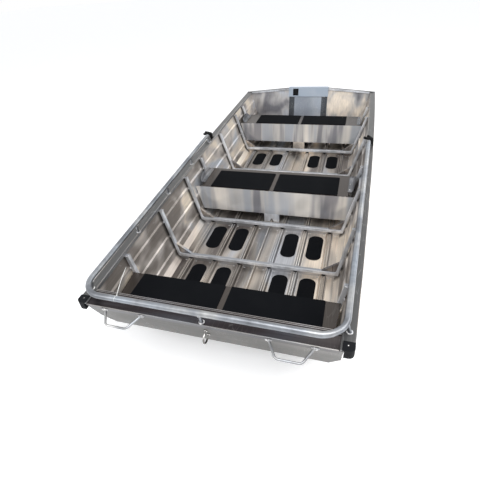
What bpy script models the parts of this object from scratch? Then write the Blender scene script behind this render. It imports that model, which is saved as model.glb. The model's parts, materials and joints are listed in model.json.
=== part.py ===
# A flat-bottom aluminium fishing boat, welded from sheet and extrusions.
# X runs across the boat, Y from the bow (minus) to the transom (plus), Z up.
# The origin is on the ground under the middle of the boat. All sizes are in metres.
import math

import bmesh
import bpy
from mathutils import Matrix, Vector

# Driving dimensions
boat_length = 3.70
bow_half_beam = 0.690
middle_half_beam = 0.754
stern_half_beam = 0.776
gunwale_height = 0.468
skin = 0.003
plate = 0.004
seat_gap = 0.0003
side_fit = 0.0007
overrun = 0.05

# Bottom: flat from the transom to the sweep, then an arc up to the bow plate
keel_height = 0.022
floor_half_width = 0.565
chine_flare = 0.036
chine_rise = 0.040
sweep_start = -1.15
sweep_steps = 9
ridge_spacing_share = 0.3363
ridge_first_share = 0.1965
ridge_base_half = 0.0225
ridge_top_half = 0.0130
ridge_height = 0.018
centre_ridge_base_half = 0.012
centre_ridge_top_half = 0.006
centre_ridge_height = 0.012

# Bow and transom
bow_rake = math.radians(22)
bow_plate_height = 0.244
bow_corner_height = 0.085
bow_foot_half_width = 0.590
deck_depth = 0.088
deck_flange = 0.040
deck_lip = 0.022
transom_rake = math.radians(12)
transom_rise = 0.045
cap_reach = 0.022
cap_drop = 0.024
pad_half_width = 0.238
pad_thickness = 0.020
pad_inner_drop = 0.092
pad_outer_drop = 0.260
pad_top_thickness = 0.010
pocket_places = (-0.188, -0.120)
pocket_depth = 0.012
pocket_top_drop = 0.003
pocket_low_drop = 0.080
panel_half = 0.205
panel_flange = 0.028
panel_depth = 0.026

# Gunwale extrusion
gunwale_width = 0.061
gunwale_outer_drop = 0.035
gunwale_wall = 0.0035
gunwale_bead = 0.004
gunwale_lip_drop = 0.014
skin_outer_inset = 0.045
corner_cap_length = 0.050
corner_cap_drop = 0.046
corner_cap_top = 0.005
corner_cap_proud = 0.002
corner_cap_radius = 0.026
side_stations = 24

# Lengthwise ridges pressed into the sides, as heights above the ground
side_ridge_heights = (0.116, 0.236, 0.360)
side_ridge_depth = 0.008
side_ridge_half = 0.014
side_ridge_crest_half = 0.005

# Keel extrusions
keel_foot_half = 0.007
keel_flange_half = 0.025
keel_bow_trim = 0.06

# Ribs
rib_places = {
    "rib_1": -1.438, "rib_2": -0.940, "rib_3": -0.448, "rib_4": -0.086,
    "rib_5": 0.480, "rib_6": 1.031, "rib_7": 1.338,
}
rib_width = 0.026
rib_leg_depth = 0.024
rib_bar_height = 0.060
rib_gusset_rise = 0.085
rib_gusset_run = 0.095
notch_base_half = 0.031
notch_top_half = 0.011
notch_height = 0.028

# Benches: front edge, back edge and height of the top, room under the skirts, gap at the ends
bench_table = {
    "bow": (-1.755, -1.4514, 0.328, 0.077, 0.018),
    "middle": (-0.343, 0.000, 0.318, 0.077, 0.066),
    "stern": (1.117, 1.401, 0.330, 0.103, 0.040),
}
bench_bow_skirt = 0.044
bench_pad_height = 0.006
bench_pad_centre_gap = 0.017

# Bench pads: margin in front, margin behind and half span over both
bench_pad_table = {
    "bow": (0.014, 0.001, 0.541),
    "middle": (0.009, 0.048, 0.518),
    "stern": (0.008, 0.013, 0.493),
}
block_half_width = 0.063
block_depth = 0.036

# Floor pads: the ribs that the rows end before
floor_pad_rows = {"a": "rib_2", "b": "rib_3", "c": "rib_6"}
floor_pad_lanes = (-1.5, -0.5, 0.5, 1.5)
floor_pad_length = 0.290
floor_pad_width = 0.112
floor_pad_height = 0.003
floor_pad_rib_gap = 0.042

# Tube rail
rail_radius = 0.015
rail_height = 0.076
rail_fore_inset = 0.045
rail_aft_inset = 0.042
rail_bow_inset = 0.004
rail_corner_radius = 0.120
rail_end = 0.225
rail_end_bend = 0.045
rail_split = -1.600
rail_post_radius = 0.008
rail_post_places = (-1.234, -0.748, -0.256)
rail_post_inset = 0.052
rail_bow_post_inset = 0.013
rail_corner_post = -1.748
rail_corner_post_inset = 0.031
rail_corner_steps = 9

# Bow fittings
handle_radius = 0.006
handle_centre = 0.424
handle_foot_half = 0.104
handle_grip_half = 0.055
handle_reach = 0.082
handle_drop = 0.014
handle_height_below_deck = 0.024
eye_radius = 0.005
eye_half_height = 0.030
eye_reach = 0.055
eye_drop = 0.112

# Rowlocks
rowlock_place = 0.318
rowlock_inset = 0.027
socket_radius = 0.023
socket_height = 0.036
socket_base_half = 0.034
socket_base_height = 0.006
pin_radius = 0.0060
pin_bore_radius = 0.0063
pin_length = 0.030
rowlock_collar_radius = 0.013
rowlock_collar_height = 0.009
rowlock_lift = 0.0003
rowlock_rise = math.radians(14)
rowlock_middle = 0.032
rowlock_half_opening = 0.020
rowlock_horn = 0.010
rowlock_tip_half = 0.0195
rowlock_tip_reach = 0.056
rowlock_bar_radius = 0.005
rowlock_tip_radius = 0.0075
rowlock_turns = {"port": math.radians(-40), "starboard": 0}

# Sizes that follow from those above
floor_top = keel_height + skin
chine_half_width = floor_half_width + chine_flare
ridge_spacing = floor_half_width * ridge_spacing_share
ridge_first = floor_half_width * ridge_first_share
bow_front = -boat_length / 2
stern_back = boat_length / 2
side_top = gunwale_height - gunwale_wall - seat_gap
skin_inner_inset = skin_outer_inset + skin
bow_foot_height = gunwale_height - bow_plate_height
sweep_run = sweep_start - (bow_front + bow_plate_height * math.tan(bow_rake))
sweep_rise = bow_foot_height + skin - floor_top
sweep_radius = (sweep_run**2 + sweep_rise**2) / (2 * sweep_rise)
sweep_angle = math.asin(sweep_run / sweep_radius)
sweep_end = sweep_start - sweep_radius * sweep_angle


def clear_scene():
    for thing in list(bpy.data.objects):
        bpy.data.objects.remove(thing, do_unlink=True)


def material(name, colour, roughness, metallic):
    made = bpy.data.materials.get(name)
    if made is None:
        made = bpy.data.materials.new(name)
        made.use_nodes = True
        shader = made.node_tree.nodes["Principled BSDF"]
        shader.inputs["Base Color"].default_value = (*colour, 1)
        shader.inputs["Roughness"].default_value = roughness
        shader.inputs["Metallic"].default_value = metallic
    return made


def aluminium():
    return material("mill_aluminium", (0.62, 0.61, 0.59), 0.32, 1)


def bright_sheet():
    return material("bright_aluminium", (0.74, 0.73, 0.71), 0.15, 1)


def tube_metal():
    return material("rail_aluminium", (0.66, 0.68, 0.72), 0.28, 1)


def stainless():
    return material("stainless_steel", (0.60, 0.60, 0.60), 0.18, 1)


def pad_foam():
    return material("black_foam", (0.012, 0.012, 0.014), 0.85, 0)


def black_rubber():
    return material("black_rubber", (0.015, 0.016, 0.020), 0.6, 0)


def black_nylon():
    return material("black_nylon", (0.02, 0.02, 0.022), 0.4, 0)


def grey_pad():
    return material("grey_pad", (0.42, 0.46, 0.52), 0.5, 0)


def object_from(name, points, faces, finish, smooth=None):
    mesh = bpy.data.meshes.new(name)
    mesh.from_pydata([tuple(point) for point in points], [], faces)
    tidy = bmesh.new()
    tidy.from_mesh(mesh)
    bmesh.ops.recalc_face_normals(tidy, faces=tidy.faces)
    tidy.to_mesh(mesh)
    tidy.free()
    if smooth is not None:
        mesh.shade_smooth()
        mesh.set_sharp_from_angle(angle=math.radians(smooth))
    mesh.materials.append(finish)
    thing = bpy.data.objects.new(name, mesh)
    bpy.context.collection.objects.link(thing)
    return thing


def loft(name, rings, finish, smooth=None):
    """Skin a row of closed rings that have the same number of points, and cap both ends."""
    count = len(rings[0])
    points = [point for ring in rings for point in ring]
    faces = [tuple(range(count)), tuple(range(len(points) - count, len(points)))]
    for row in range(len(rings) - 1):
        for here in range(count):
            after = (here + 1) % count
            first = row * count
            second = first + count
            faces.append((first + here, first + after, second + after, second + here))
    return object_from(name, points, faces, finish, smooth)


def prism(name, outline, place, low, high, finish):
    """Extrude an outline: place turns its two values and a distance into a point."""
    rings = [[place(a, b, distance) for a, b in outline] for distance in (low, high)]
    return loft(name, rings, finish)


def across(y, z, x):
    return Vector((x, y, z))


def lengthwise(x, z, y):
    return Vector((x, y, z))


def upright(x, y, z):
    return Vector((x, y, z))


def triangulate(thing):
    """Split every face, so that no leaning quad is left bent."""
    tidy = bmesh.new()
    tidy.from_mesh(thing.data)
    bmesh.ops.triangulate(tidy, faces=tidy.faces)
    tidy.to_mesh(thing.data)
    tidy.free()


def boolean(target, cutter, operation):
    """Apply a boolean at once and remove the object that it used."""
    triangulate(target)
    triangulate(cutter)
    change = target.modifiers.new(operation.lower(), "BOOLEAN")
    change.operation = operation
    change.object = cutter
    change.solver = "EXACT"
    shape = bpy.data.meshes.new_from_object(
        target.evaluated_get(bpy.context.evaluated_depsgraph_get())
    )
    target.modifiers.clear()
    target.data = shape
    bpy.data.objects.remove(cutter, do_unlink=True)
    return target


def mirrored(outline):
    """Complete a half outline, which runs from the middle outwards, on the other side."""
    return outline + [(-x, z) for x, z in reversed(outline) if x != 0]


def side_to_side(half):
    """Complete a half line, which runs from the middle outwards, from edge to edge."""
    return [(-x, z) for x, z in reversed(half) if x != 0] + half


def slide_to(ring, direction, plane):
    """Slide a ring along a direction onto a plane, given as a point and a normal."""
    origin, normal = plane
    return [
        point + direction * ((origin - point).dot(normal) / direction.dot(normal))
        for point in ring
    ]


def tube(name, route, radius, finish, sides=12, feet=(None, None)):
    """Sweep a circle along a smooth list of points; feet are the planes of its ends."""
    rings = []
    side = None
    for index, here in enumerate(route):
        before = route[max(index - 1, 0)]
        after = route[min(index + 1, len(route) - 1)]
        forward = (after - before).normalized()
        if side is None:
            helper = Vector((0, 0, 1)) if abs(forward.z) < 0.9 else Vector((1, 0, 0))
            side = forward.cross(helper).normalized()
        side = (side - forward * side.dot(forward)).normalized()
        up = forward.cross(side)
        turn = 2 * math.pi / sides
        rings.append([
            here + radius * (math.cos(turn * k) * side + math.sin(turn * k) * up)
            for k in range(sides)
        ])
    if feet[0]:
        rings[0] = slide_to(rings[0], route[1] - route[0], feet[0])
    if feet[1]:
        rings[-1] = slide_to(rings[-1], route[-1] - route[-2], feet[1])
    return loft(name, rings, finish, 40)


def arc(centre, radius, first, last, steps, place):
    """Points on an arc in the plane that place describes."""
    turns = [first + (last - first) * k / steps for k in range(steps + 1)]
    return [
        place(centre[0] + radius * math.cos(turn), centre[1] + radius * math.sin(turn))
        for turn in turns
    ]


def half_beam(y):
    """Half width over the gunwales: a parabola through bow, middle and stern."""
    share = y / (boat_length / 2)
    tilt = (stern_half_beam - bow_half_beam) / 2
    bend = (stern_half_beam + bow_half_beam) / 2 - middle_half_beam
    return middle_half_beam + tilt * share + bend * share**2


def bow_plane(z):
    """Front face of the bow plate at a height."""
    return bow_front + (gunwale_height - z) * math.tan(bow_rake)


def transom_plane(z):
    """Back face of the transom at a height."""
    return stern_back - (gunwale_height - z) * math.tan(transom_rake)


def sweep_point(step, height):
    """Y and Z of a level over the bottom at a whole step of the sweep."""
    turn = sweep_angle * step / sweep_steps
    reach = sweep_radius - height
    return (
        sweep_start - reach * math.sin(turn),
        floor_top + sweep_radius - reach * math.cos(turn),
    )


def on_bottom(x, along, height):
    """A point over the bottom: along is Y on the flat, and follows the sweep past it."""
    if along >= sweep_start:
        return Vector((x, along, floor_top + height))
    steps = (sweep_start - along) / (sweep_radius * sweep_angle / sweep_steps)
    before = min(math.floor(steps), sweep_steps + 2)
    first = sweep_point(before, height)
    second = sweep_point(before + 1, height)
    share = steps - before
    return Vector((
        x,
        first[0] + (second[0] - first[0]) * share,
        first[1] + (second[1] - first[1]) * share,
    ))


def sweep_height(y, height):
    """Height above the ground of the level that lies a given height over the bottom."""
    if y >= sweep_start:
        return floor_top + height
    for step in range(sweep_steps + 3):
        first = sweep_point(step, height)
        second = sweep_point(step + 1, height)
        if y >= second[0]:
            break
    share = (y - first[0]) / (second[0] - first[0])
    return first[1] + (second[1] - first[1]) * share


def side_inner(y, z):
    """Inner face of the side skin between its ridges."""
    top = half_beam(y) - skin_inner_inset
    chine_end = to_bow_plate(on_bottom(0, sweep_end, chine_rise), sweep_angle).z
    chine = min(sweep_height(y, chine_rise), chine_end)
    slope = (top - chine_half_width) / (side_top - chine)
    return top - slope * (side_top - z)


def ridge_places():
    return [ridge_first + ridge_spacing * step for step in range(3)]


def bottom_outline():
    """Outline of the planking: its top face, and back along its under face."""
    top = [
        (0, centre_ridge_height),
        (centre_ridge_top_half, centre_ridge_height),
        (centre_ridge_base_half, 0),
    ]
    under = [
        (0, centre_ridge_height - skin),
        (centre_ridge_top_half - skin / 2, centre_ridge_height - skin),
        (centre_ridge_base_half - skin, -skin),
    ]
    for x in ridge_places():
        top += [
            (x - ridge_base_half, 0),
            (x - ridge_top_half, ridge_height),
            (x + ridge_top_half, ridge_height),
            (x + ridge_base_half, 0),
        ]
        under += [
            (x - ridge_base_half + skin, -skin),
            (x - ridge_top_half + skin / 2, ridge_height - skin),
            (x + ridge_top_half - skin / 2, ridge_height - skin),
            (x + ridge_base_half - skin, -skin),
        ]
    top.append((floor_half_width - seat_gap, 0))
    under.append((floor_half_width - seat_gap, -skin))
    return side_to_side(top) + side_to_side(under)[::-1]


def bottom_ring(outline, along):
    return [on_bottom(x, along, height) for x, height in outline]


def bottom_stations():
    sweep_length = sweep_radius * sweep_angle
    return [sweep_start - sweep_length * k / sweep_steps for k in range(sweep_steps)]


def to_transom(point):
    """Slide a point lengthwise onto the front face of the transom."""
    return Vector((point.x, transom_plane(point.z) - plate - seat_gap, point.z))


def to_bow_plate(point, turn):
    """Slide a point along the end of the sweep onto the back face of the bow plate."""
    back = plate / math.cos(bow_rake) + seat_gap
    miss = point.y - bow_plane(point.z) - back
    travel = miss / (math.cos(turn) - math.sin(turn) * math.tan(bow_rake))
    return point + travel * Vector((0, -math.cos(turn), math.sin(turn)))


def swept_rings(outline, bow_trim=0.0):
    """Rings of an outline from the transom to the bow plate, or short of it by a trim."""
    rings = [[to_transom(on_bottom(x, sweep_start, h)) for x, h in outline]]
    rings += [bottom_ring(outline, along) for along in bottom_stations()]
    end = bottom_ring(outline, sweep_end + bow_trim)
    if bow_trim == 0:
        end = [to_bow_plate(point, sweep_angle) for point in end]
    rings.append(end)
    return rings


def make_bottom():
    loft("bottom_planking", swept_rings(bottom_outline()), aluminium())


def make_chines():
    for name, sign in (("chine_port", 1), ("chine_starboard", -1)):
        outline = [
            (floor_half_width, 0), (chine_half_width, chine_rise),
            (chine_half_width + skin, chine_rise), (floor_half_width + skin / 2, -skin),
            (floor_half_width, -skin),
        ]
        rings = swept_rings([(sign * x, height) for x, height in outline])
        loft(name, rings, aluminium())


def make_keels():
    foot = keel_foot_half
    flange = keel_flange_half
    web = keel_height - seat_gap
    lift = -skin - seat_gap
    outline = [
        (-flange, lift), (flange, lift), (flange, lift - skin),
        (foot + skin, lift - skin), (foot, lift - web), (-foot, lift - web),
        (-foot - skin, lift - skin), (-flange, lift - skin),
    ]
    offset = ridge_first + ridge_spacing * 1.5
    for name, x in (("keel_centre", 0), ("keel_port", offset), ("keel_starboard", -offset)):
        shifted = [(x + across_keel, height) for across_keel, height in outline]
        loft(name, swept_rings(shifted, keel_bow_trim), aluminium())


def side_profile():
    """Heights along the side with the inward step of the ridges, from the top down."""
    rows = [(side_top, 0)]
    for height in reversed(side_ridge_heights):
        rows += [
            (height + side_ridge_half, 0),
            (height + side_ridge_crest_half, side_ridge_depth),
            (height - side_ridge_crest_half, side_ridge_depth),
            (height - side_ridge_half, 0),
        ]
    rows.append((floor_top, 0))
    return rows


def side_station(share, sign):
    """One ring of the side skin: it leans with the bow plate and with the transom."""
    def place(z):
        bow = bow_plane(z) + plate / math.cos(bow_rake) + seat_gap
        stern = transom_plane(z) - plate - seat_gap
        return bow + (stern - bow) * share
    rows = side_profile()
    inner = [(side_inner(place(z), z) - step, z) for z, step in rows]
    outer = [(x + skin, z) for x, z in inner]
    return [Vector((sign * x, place(z), z)) for x, z in inner + outer[::-1]]


def make_sides():
    for name, sign in (("side_port", 1), ("side_starboard", -1)):
        rings = [side_station(k / side_stations, sign) for k in range(side_stations + 1)]
        side = loft(name, rings, aluminium())
        level = chine_rise + seat_gap
        curve = [on_bottom(0, stern_back + overrun, level)]
        curve += [on_bottom(0, along, level) for along in bottom_stations()]
        last = to_bow_plate(on_bottom(0, sweep_end, level), sweep_angle)
        curve += [last, last + 2 * (last - curve[-1])]
        outline = [(point.y, point.z) for point in curve]
        outline += [(bow_front - 4 * overrun, -overrun), (stern_back + overrun, -overrun)]
        cutter = prism(
            "side_cutter", outline, across, 0, sign * (stern_half_beam + 2 * overrun),
            aluminium(),
        )
        boolean(side, cutter, "DIFFERENCE")


def make_bow_plate():
    half_top = side_inner(bow_front, side_top) + skin
    half_deck = half_beam(bow_front) - gunwale_width - 2 * seat_gap
    foot = bow_foot_height
    knuckle = foot + bow_corner_height
    shoulder = gunwale_height - gunwale_lip_drop - seat_gap
    top = gunwale_height - skin - seat_gap
    outline = mirrored([
        (0, foot), (bow_foot_half_width, foot), (half_top - skin, knuckle),
        (half_top, shoulder), (half_deck, shoulder), (half_deck, top),
    ])

    def place(x, z, back):
        return Vector((x, bow_plane(z) + back, z))
    prism("bow_plate", outline, place, 0, plate / math.cos(bow_rake), aluminium())


def make_bow_deck():
    front = bow_front - seat_gap - skin
    lean = math.tan(bow_rake)
    flange_low = gunwale_height - deck_flange
    under = gunwale_height - skin
    back = bow_front + deck_depth
    flange_back = (under - flange_low) * lean
    profile = [
        (front + flange_back, flange_low),
        (front, under),
        (front + skin / 2, gunwale_height),
        (back - 2 * skin, gunwale_height),
        (back - skin, gunwale_height + skin),
        (back, gunwale_height + skin),
        (back + skin, gunwale_height),
        (back + skin, gunwale_height - deck_lip),
        (back, gunwale_height - deck_lip),
        (back, under),
        (front + skin, under),
        (front + skin + flange_back, flange_low),
    ]

    def ring(sign):
        return [
            Vector((sign * (half_beam(y) - gunwale_width - seat_gap), y, z))
            for y, z in profile
        ]
    loft("bow_deck", [ring(-1), ring(1)], aluminium())


def gunwale_outline():
    """Outline of the extrusion, as distance in from the outer edge and height from its top."""
    wall = gunwale_wall
    slot = skin_outer_inset - seat_gap
    return [
        (0, -gunwale_outer_drop), (0, -wall - skin), (skin / 2, -skin / 2), (2 * skin, 0),
        (gunwale_width - 3 * skin, 0), (gunwale_width - 2 * skin, gunwale_bead),
        (gunwale_width, gunwale_bead), (gunwale_width, -gunwale_lip_drop),
        (gunwale_width - skin, -gunwale_lip_drop), (gunwale_width - skin, -wall),
        (slot, -wall), (slot, -gunwale_outer_drop),
        (slot - skin, -gunwale_outer_drop), (slot - skin, -wall),
        (wall, -wall), (wall, -gunwale_outer_drop),
    ]


def make_gunwales():
    start = bow_front
    for name, sign in (("gunwale_port", 1), ("gunwale_starboard", -1)):
        rings = []
        for k in range(side_stations + 1):
            def place(z):
                stern = transom_plane(z) - plate - seat_gap
                return start + (stern - start) * k / side_stations
            rings.append([
                Vector((
                    sign * (half_beam(place(gunwale_height + dz)) - inset),
                    place(gunwale_height + dz),
                    gunwale_height + dz,
                ))
                for inset, dz in gunwale_outline()
            ])
        gunwale = loft(name, rings, aluminium())
        back = bow_front + corner_cap_length
        notch = [
            (sign * (half_beam(y) - inset), y)
            for y, inset in (
                (bow_front - overrun, skin_outer_inset), (back, skin_outer_inset),
                (back, -overrun), (bow_front - overrun, -overrun),
            )
        ]
        cutter = prism(
            "cap_cutter", notch, upright, gunwale_height - overrun, gunwale_height + overrun,
            aluminium(),
        )
        boolean(gunwale, cutter, "DIFFERENCE")


def transom_edge(x):
    """Height of the top edge of the transom plate."""
    corner = gunwale_height + seat_gap
    share = min(1, (stern_half_beam - abs(x)) / (stern_half_beam - pad_half_width))
    return corner + transom_rise * share


def make_transom():
    low = keel_height
    rim = gunwale_height - gunwale_outer_drop
    skin_edge = side_inner(stern_back, rim) + skin
    outline = mirrored([
        (0, low), (floor_half_width + skin, low),
        (chine_half_width + skin, low + chine_rise + skin),
        (skin_edge, rim), (stern_half_beam, rim),
        (stern_half_beam, transom_edge(stern_half_beam)),
        (pad_half_width, transom_edge(pad_half_width)), (0, transom_edge(0)),
    ])

    def place(x, z, front):
        return Vector((x, transom_plane(z) - front, z))
    prism("transom_plate", outline, place, 0, plate, aluminium())


def make_transom_caps():
    profile = [
        (-plate - cap_reach, seat_gap), (-plate - cap_reach, gunwale_wall + seat_gap),
        (gunwale_wall + seat_gap, gunwale_wall + seat_gap), (gunwale_wall + seat_gap, -cap_drop),
        (seat_gap, -cap_drop), (seat_gap, seat_gap),
    ]
    for name, sign in (("transom_cap_port", 1), ("transom_cap_starboard", -1)):
        rings = []
        for x in (pad_half_width + seat_gap, stern_half_beam):
            edge = transom_edge(x)
            rings.append([
                Vector((sign * x, transom_plane(edge + dz) + dy, edge + dz))
                for dy, dz in profile
            ])
        loft(name, rings, aluminium())


def make_motor_pad():
    edge = transom_edge(0)
    top = edge + seat_gap + pad_top_thickness
    inner_low = edge - pad_inner_drop
    outer_low = edge - pad_outer_drop
    inner_face = -plate - seat_gap
    profile = [
        (inner_face - pad_thickness, inner_low), (inner_face - pad_thickness, top),
        (pad_thickness + seat_gap, top), (pad_thickness + seat_gap, outer_low),
        (seat_gap, outer_low), (seat_gap, edge + seat_gap),
        (inner_face, edge + seat_gap), (inner_face, inner_low),
    ]

    def place(dy, z, x):
        return Vector((x, transom_plane(z) + dy, z))
    pad = prism("motor_pad", profile, place, -pad_half_width, pad_half_width, grey_pad())
    face = inner_face - pad_thickness
    pocket = [
        (face - overrun, edge - pocket_low_drop), (face - overrun, edge - pocket_top_drop),
        (face + pocket_depth, edge - pocket_top_drop), (face + pocket_depth, edge - pocket_low_drop),
    ]
    boolean(pad, prism("pocket", pocket, place, *pocket_places, grey_pad()), "DIFFERENCE")


def make_transom_panel():
    half = panel_half
    flange = panel_flange
    depth = panel_depth
    outline = [
        (-half - flange, 0), (-half - flange, skin), (-half - skin, skin),
        (-half - skin, depth), (half + skin, depth), (half + skin, skin),
        (half + flange, skin), (half + flange, 0), (half, 0), (half, depth - skin),
        (-half, depth - skin), (-half, 0),
    ]
    low = floor_top + ridge_height + skin
    high = transom_edge(0) - pad_inner_drop - skin

    def place(x, front, z):
        return Vector((x, transom_plane(z) - plate - seat_gap - front, z))
    prism("transom_panel", outline, place, low, high, bright_sheet())


def rib_outline(y):
    """Outline of a rib: notched bar, chine gussets and legs up to the gunwale."""
    fore = y - rib_width / 2
    foot = sweep_height(fore, 0) + seat_gap
    bar_top = foot + rib_bar_height
    leg_top = gunwale_height - gunwale_lip_drop - seat_gap
    clear = side_ridge_depth + side_fit
    chine = sweep_height(fore, chine_rise)

    def leg_outer(z):
        return side_inner(fore, z) - clear

    def leg_inner(z):
        return leg_outer(z) - rib_leg_depth
    half = [(0, foot + notch_height), (notch_top_half / 2, foot + notch_height)]
    half.append((notch_base_half / 2, foot))
    for x in ridge_places():
        half += [
            (x - notch_base_half, foot), (x - notch_top_half, foot + notch_height),
            (x + notch_top_half, foot + notch_height), (x + notch_base_half, foot),
        ]
    heel = floor_half_width - clear
    half += [
        (heel, foot), (leg_outer(chine), chine), (leg_outer(leg_top), leg_top),
        (leg_inner(leg_top), leg_top),
    ]
    gusset = bar_top + rib_gusset_rise
    half += [
        (leg_inner(gusset), gusset),
        (leg_inner(bar_top) - rib_gusset_run, bar_top), (0, bar_top),
    ]
    other = [(-x, z) for x, z in reversed(half) if x != 0]
    return half + other


def make_ribs():
    for name, y in rib_places.items():
        prism(
            name, rib_outline(y), lengthwise, y - rib_width / 2, y + rib_width / 2,
            tube_metal(),
        )


def skirt_outline(y, low, high):
    clear = side_ridge_depth + side_fit
    return mirrored([
        (0, low), (side_inner(y, low) - clear, low), (side_inner(y, high) - clear, high),
    ])


def make_bench(kind):
    front, back, top, floor_gap, end_gap = bench_table[kind]
    floor = sweep_height(back, 0)
    low_back = floor + floor_gap
    low_front = low_back if kind != "bow" else top - bench_bow_skirt
    name = "bench_" + kind
    bench = prism(
        name, skirt_outline(front, low_front, top), lengthwise, front, front + skin,
        bright_sheet(),
    )
    rear = prism(
        "rear", skirt_outline(back - skin, low_back, top), lengthwise, back - skin, back,
        bright_sheet(),
    )
    ends = (front + skin / 2, back - skin / 2)
    near, far = (side_inner(y, top) - end_gap for y in ends)
    outline = [(-near, ends[0]), (near, ends[0]), (far, ends[1]), (-far, ends[1])]
    board = prism("board", outline, upright, top - skin, top, bright_sheet())
    boolean(bench, rear, "UNION")
    boolean(bench, board, "UNION")


def make_bench_pads(kind):
    front, back, top = bench_table[kind][:3]
    front_margin, back_margin, half_span = bench_pad_table[kind]
    fore = front + front_margin
    aft = back - back_margin
    low = top + seat_gap
    for name, sign in (("port", 1), ("starboard", -1)):
        near = bench_pad_centre_gap * sign
        far = half_span * sign
        outline = [(near, fore), (far, fore), (far, aft), (near, aft)]
        prism(
            "bench_pad_" + kind + "_" + name, outline, upright, low,
            low + bench_pad_height, pad_foam(),
        )


def make_block(kind):
    front, back, top, floor_gap = bench_table[kind][:4]
    low = floor_top + seat_gap
    high = floor_top + floor_gap - seat_gap
    outline = mirrored([
        (0, low + notch_height), (notch_top_half / 2, low + notch_height),
        (notch_base_half / 2, low), (block_half_width, low), (block_half_width, high),
        (0, high),
    ])
    prism("bench_block_" + kind, outline, lengthwise, front, front + block_depth, tube_metal())


def pad_outline(centre, near, far):
    """A strip with round ends, as X and distance along the bottom."""
    radius = floor_pad_width / 2

    def place(x, y):
        return (x, y)
    ends = arc((centre, far - radius), radius, 0, math.pi, 8, place)
    return ends + arc((centre, near + radius), radius, math.pi, 2 * math.pi, 8, place)


def make_floor_pads():
    for row, rib in floor_pad_rows.items():
        far = rib_places[rib] - floor_pad_rib_gap
        for column in range(len(floor_pad_lanes)):
            lane = floor_pad_lanes[column]
            centre = math.copysign(ridge_first, lane) + lane * ridge_spacing
            outline = pad_outline(centre, far - floor_pad_length, far)
            rings = [
                [on_bottom(x, along, height) for x, along in outline]
                for height in (seat_gap, seat_gap + floor_pad_height)
            ]
            loft("floor_pad_%s%d" % (row, column + 1), rings, pad_foam())


def rail_line(y, sign):
    """Centre line of the side rails, which are straight from the bow corner to their ends."""
    fore = half_beam(rail_split) - rail_fore_inset
    aft = half_beam(rail_end) - rail_aft_inset
    share = (y - rail_split) / (rail_end - rail_split)
    return sign * (fore + (aft - fore) * share)


def rail_post(rail, low, high):
    """Join a round post to a rail: low is the middle of its level foot, high is in the tube."""
    floor = (low, Vector((0, 0, 1)))
    post = tube("post", [low, high], rail_post_radius, tube_metal(), 8, (floor, None))
    boolean(rail, post, "UNION")


def make_rail():
    level = gunwale_height + rail_height
    front = bow_front + rail_bow_inset
    corner = front + rail_corner_radius
    half = rail_line(corner, 1)
    route = [Vector((rail_line(rail_split, -1), rail_split, level))]

    def place(x, y):
        return Vector((x, y, level))
    inside = half - rail_corner_radius
    steps = rail_corner_steps
    route += arc((-inside, corner), rail_corner_radius, math.pi, 1.5 * math.pi, steps, place)
    route.append(place(0, front))
    route += arc((inside, corner), rail_corner_radius, 1.5 * math.pi, 2 * math.pi, steps, place)
    route.append(Vector((rail_line(rail_split, 1), rail_split, level)))
    bow = tube("rail_bow", route, rail_radius, tube_metal())
    foot = gunwale_height + seat_gap
    low = Vector((0, bow_front + rail_bow_post_inset, foot))
    rail_post(bow, low, Vector((0, front, level)))
    high_x = inside + math.sqrt(rail_corner_radius**2 - (corner - rail_corner_post)**2)
    for sign in (-1, 1):
        x = sign * (half_beam(rail_corner_post) - rail_corner_post_inset)
        low = Vector((x, rail_corner_post, foot))
        rail_post(bow, low, Vector((sign * high_x, rail_corner_post, level)))
    for name, sign in (("rail_port", 1), ("rail_starboard", -1)):
        start = rail_split + seat_gap
        bend = rail_end - rail_end_bend
        x = rail_line(rail_end, sign)

        def drop(y, z):
            return Vector((rail_line(y, sign), y, z))
        route = [drop(start, level)]
        route += arc((bend, level - rail_end_bend), rail_end_bend, math.pi / 2, 0, 6, drop)
        route.append(Vector((x, rail_end, foot + gunwale_bead)))
        rail = tube(name, route, rail_radius, tube_metal())
        for y in rail_post_places:
            low_x = sign * (half_beam(y) - rail_post_inset)
            low = Vector((low_x, y, foot + gunwale_bead))
            rail_post(rail, low, Vector((rail_line(y, sign), y, level)))


def cap_outline(inset, sign):
    """Plan of a corner cap whose inner edge is inset from the edge of the gunwale."""
    back = bow_front + corner_cap_length - seat_gap
    front = bow_front - corner_cap_proud
    outer = half_beam(bow_front) + corner_cap_proud
    radius = corner_cap_radius

    def place(x, y):
        return (sign * x, y)
    outline = [place(half_beam(back) - inset, back), place(outer, back)]
    outline += arc((outer - radius, front + radius), radius, 0, -math.pi / 2, 6, place)
    outline.append(place(half_beam(front) - inset, front))
    return outline


def make_corner_caps():
    high = gunwale_height + corner_cap_top
    block_inset = skin_outer_inset - 2 * seat_gap
    plate_inset = gunwale_width - 3 * skin - seat_gap
    for name, sign in (("corner_cap_port", 1), ("corner_cap_starboard", -1)):
        cap = prism(
            name, cap_outline(block_inset, sign), upright, gunwale_height - corner_cap_drop,
            high - skin / 2, black_rubber(),
        )
        plate = prism(
            "plate", cap_outline(plate_inset, sign), upright, gunwale_height + seat_gap,
            high, black_rubber(),
        )
        boolean(cap, plate, "UNION")


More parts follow.
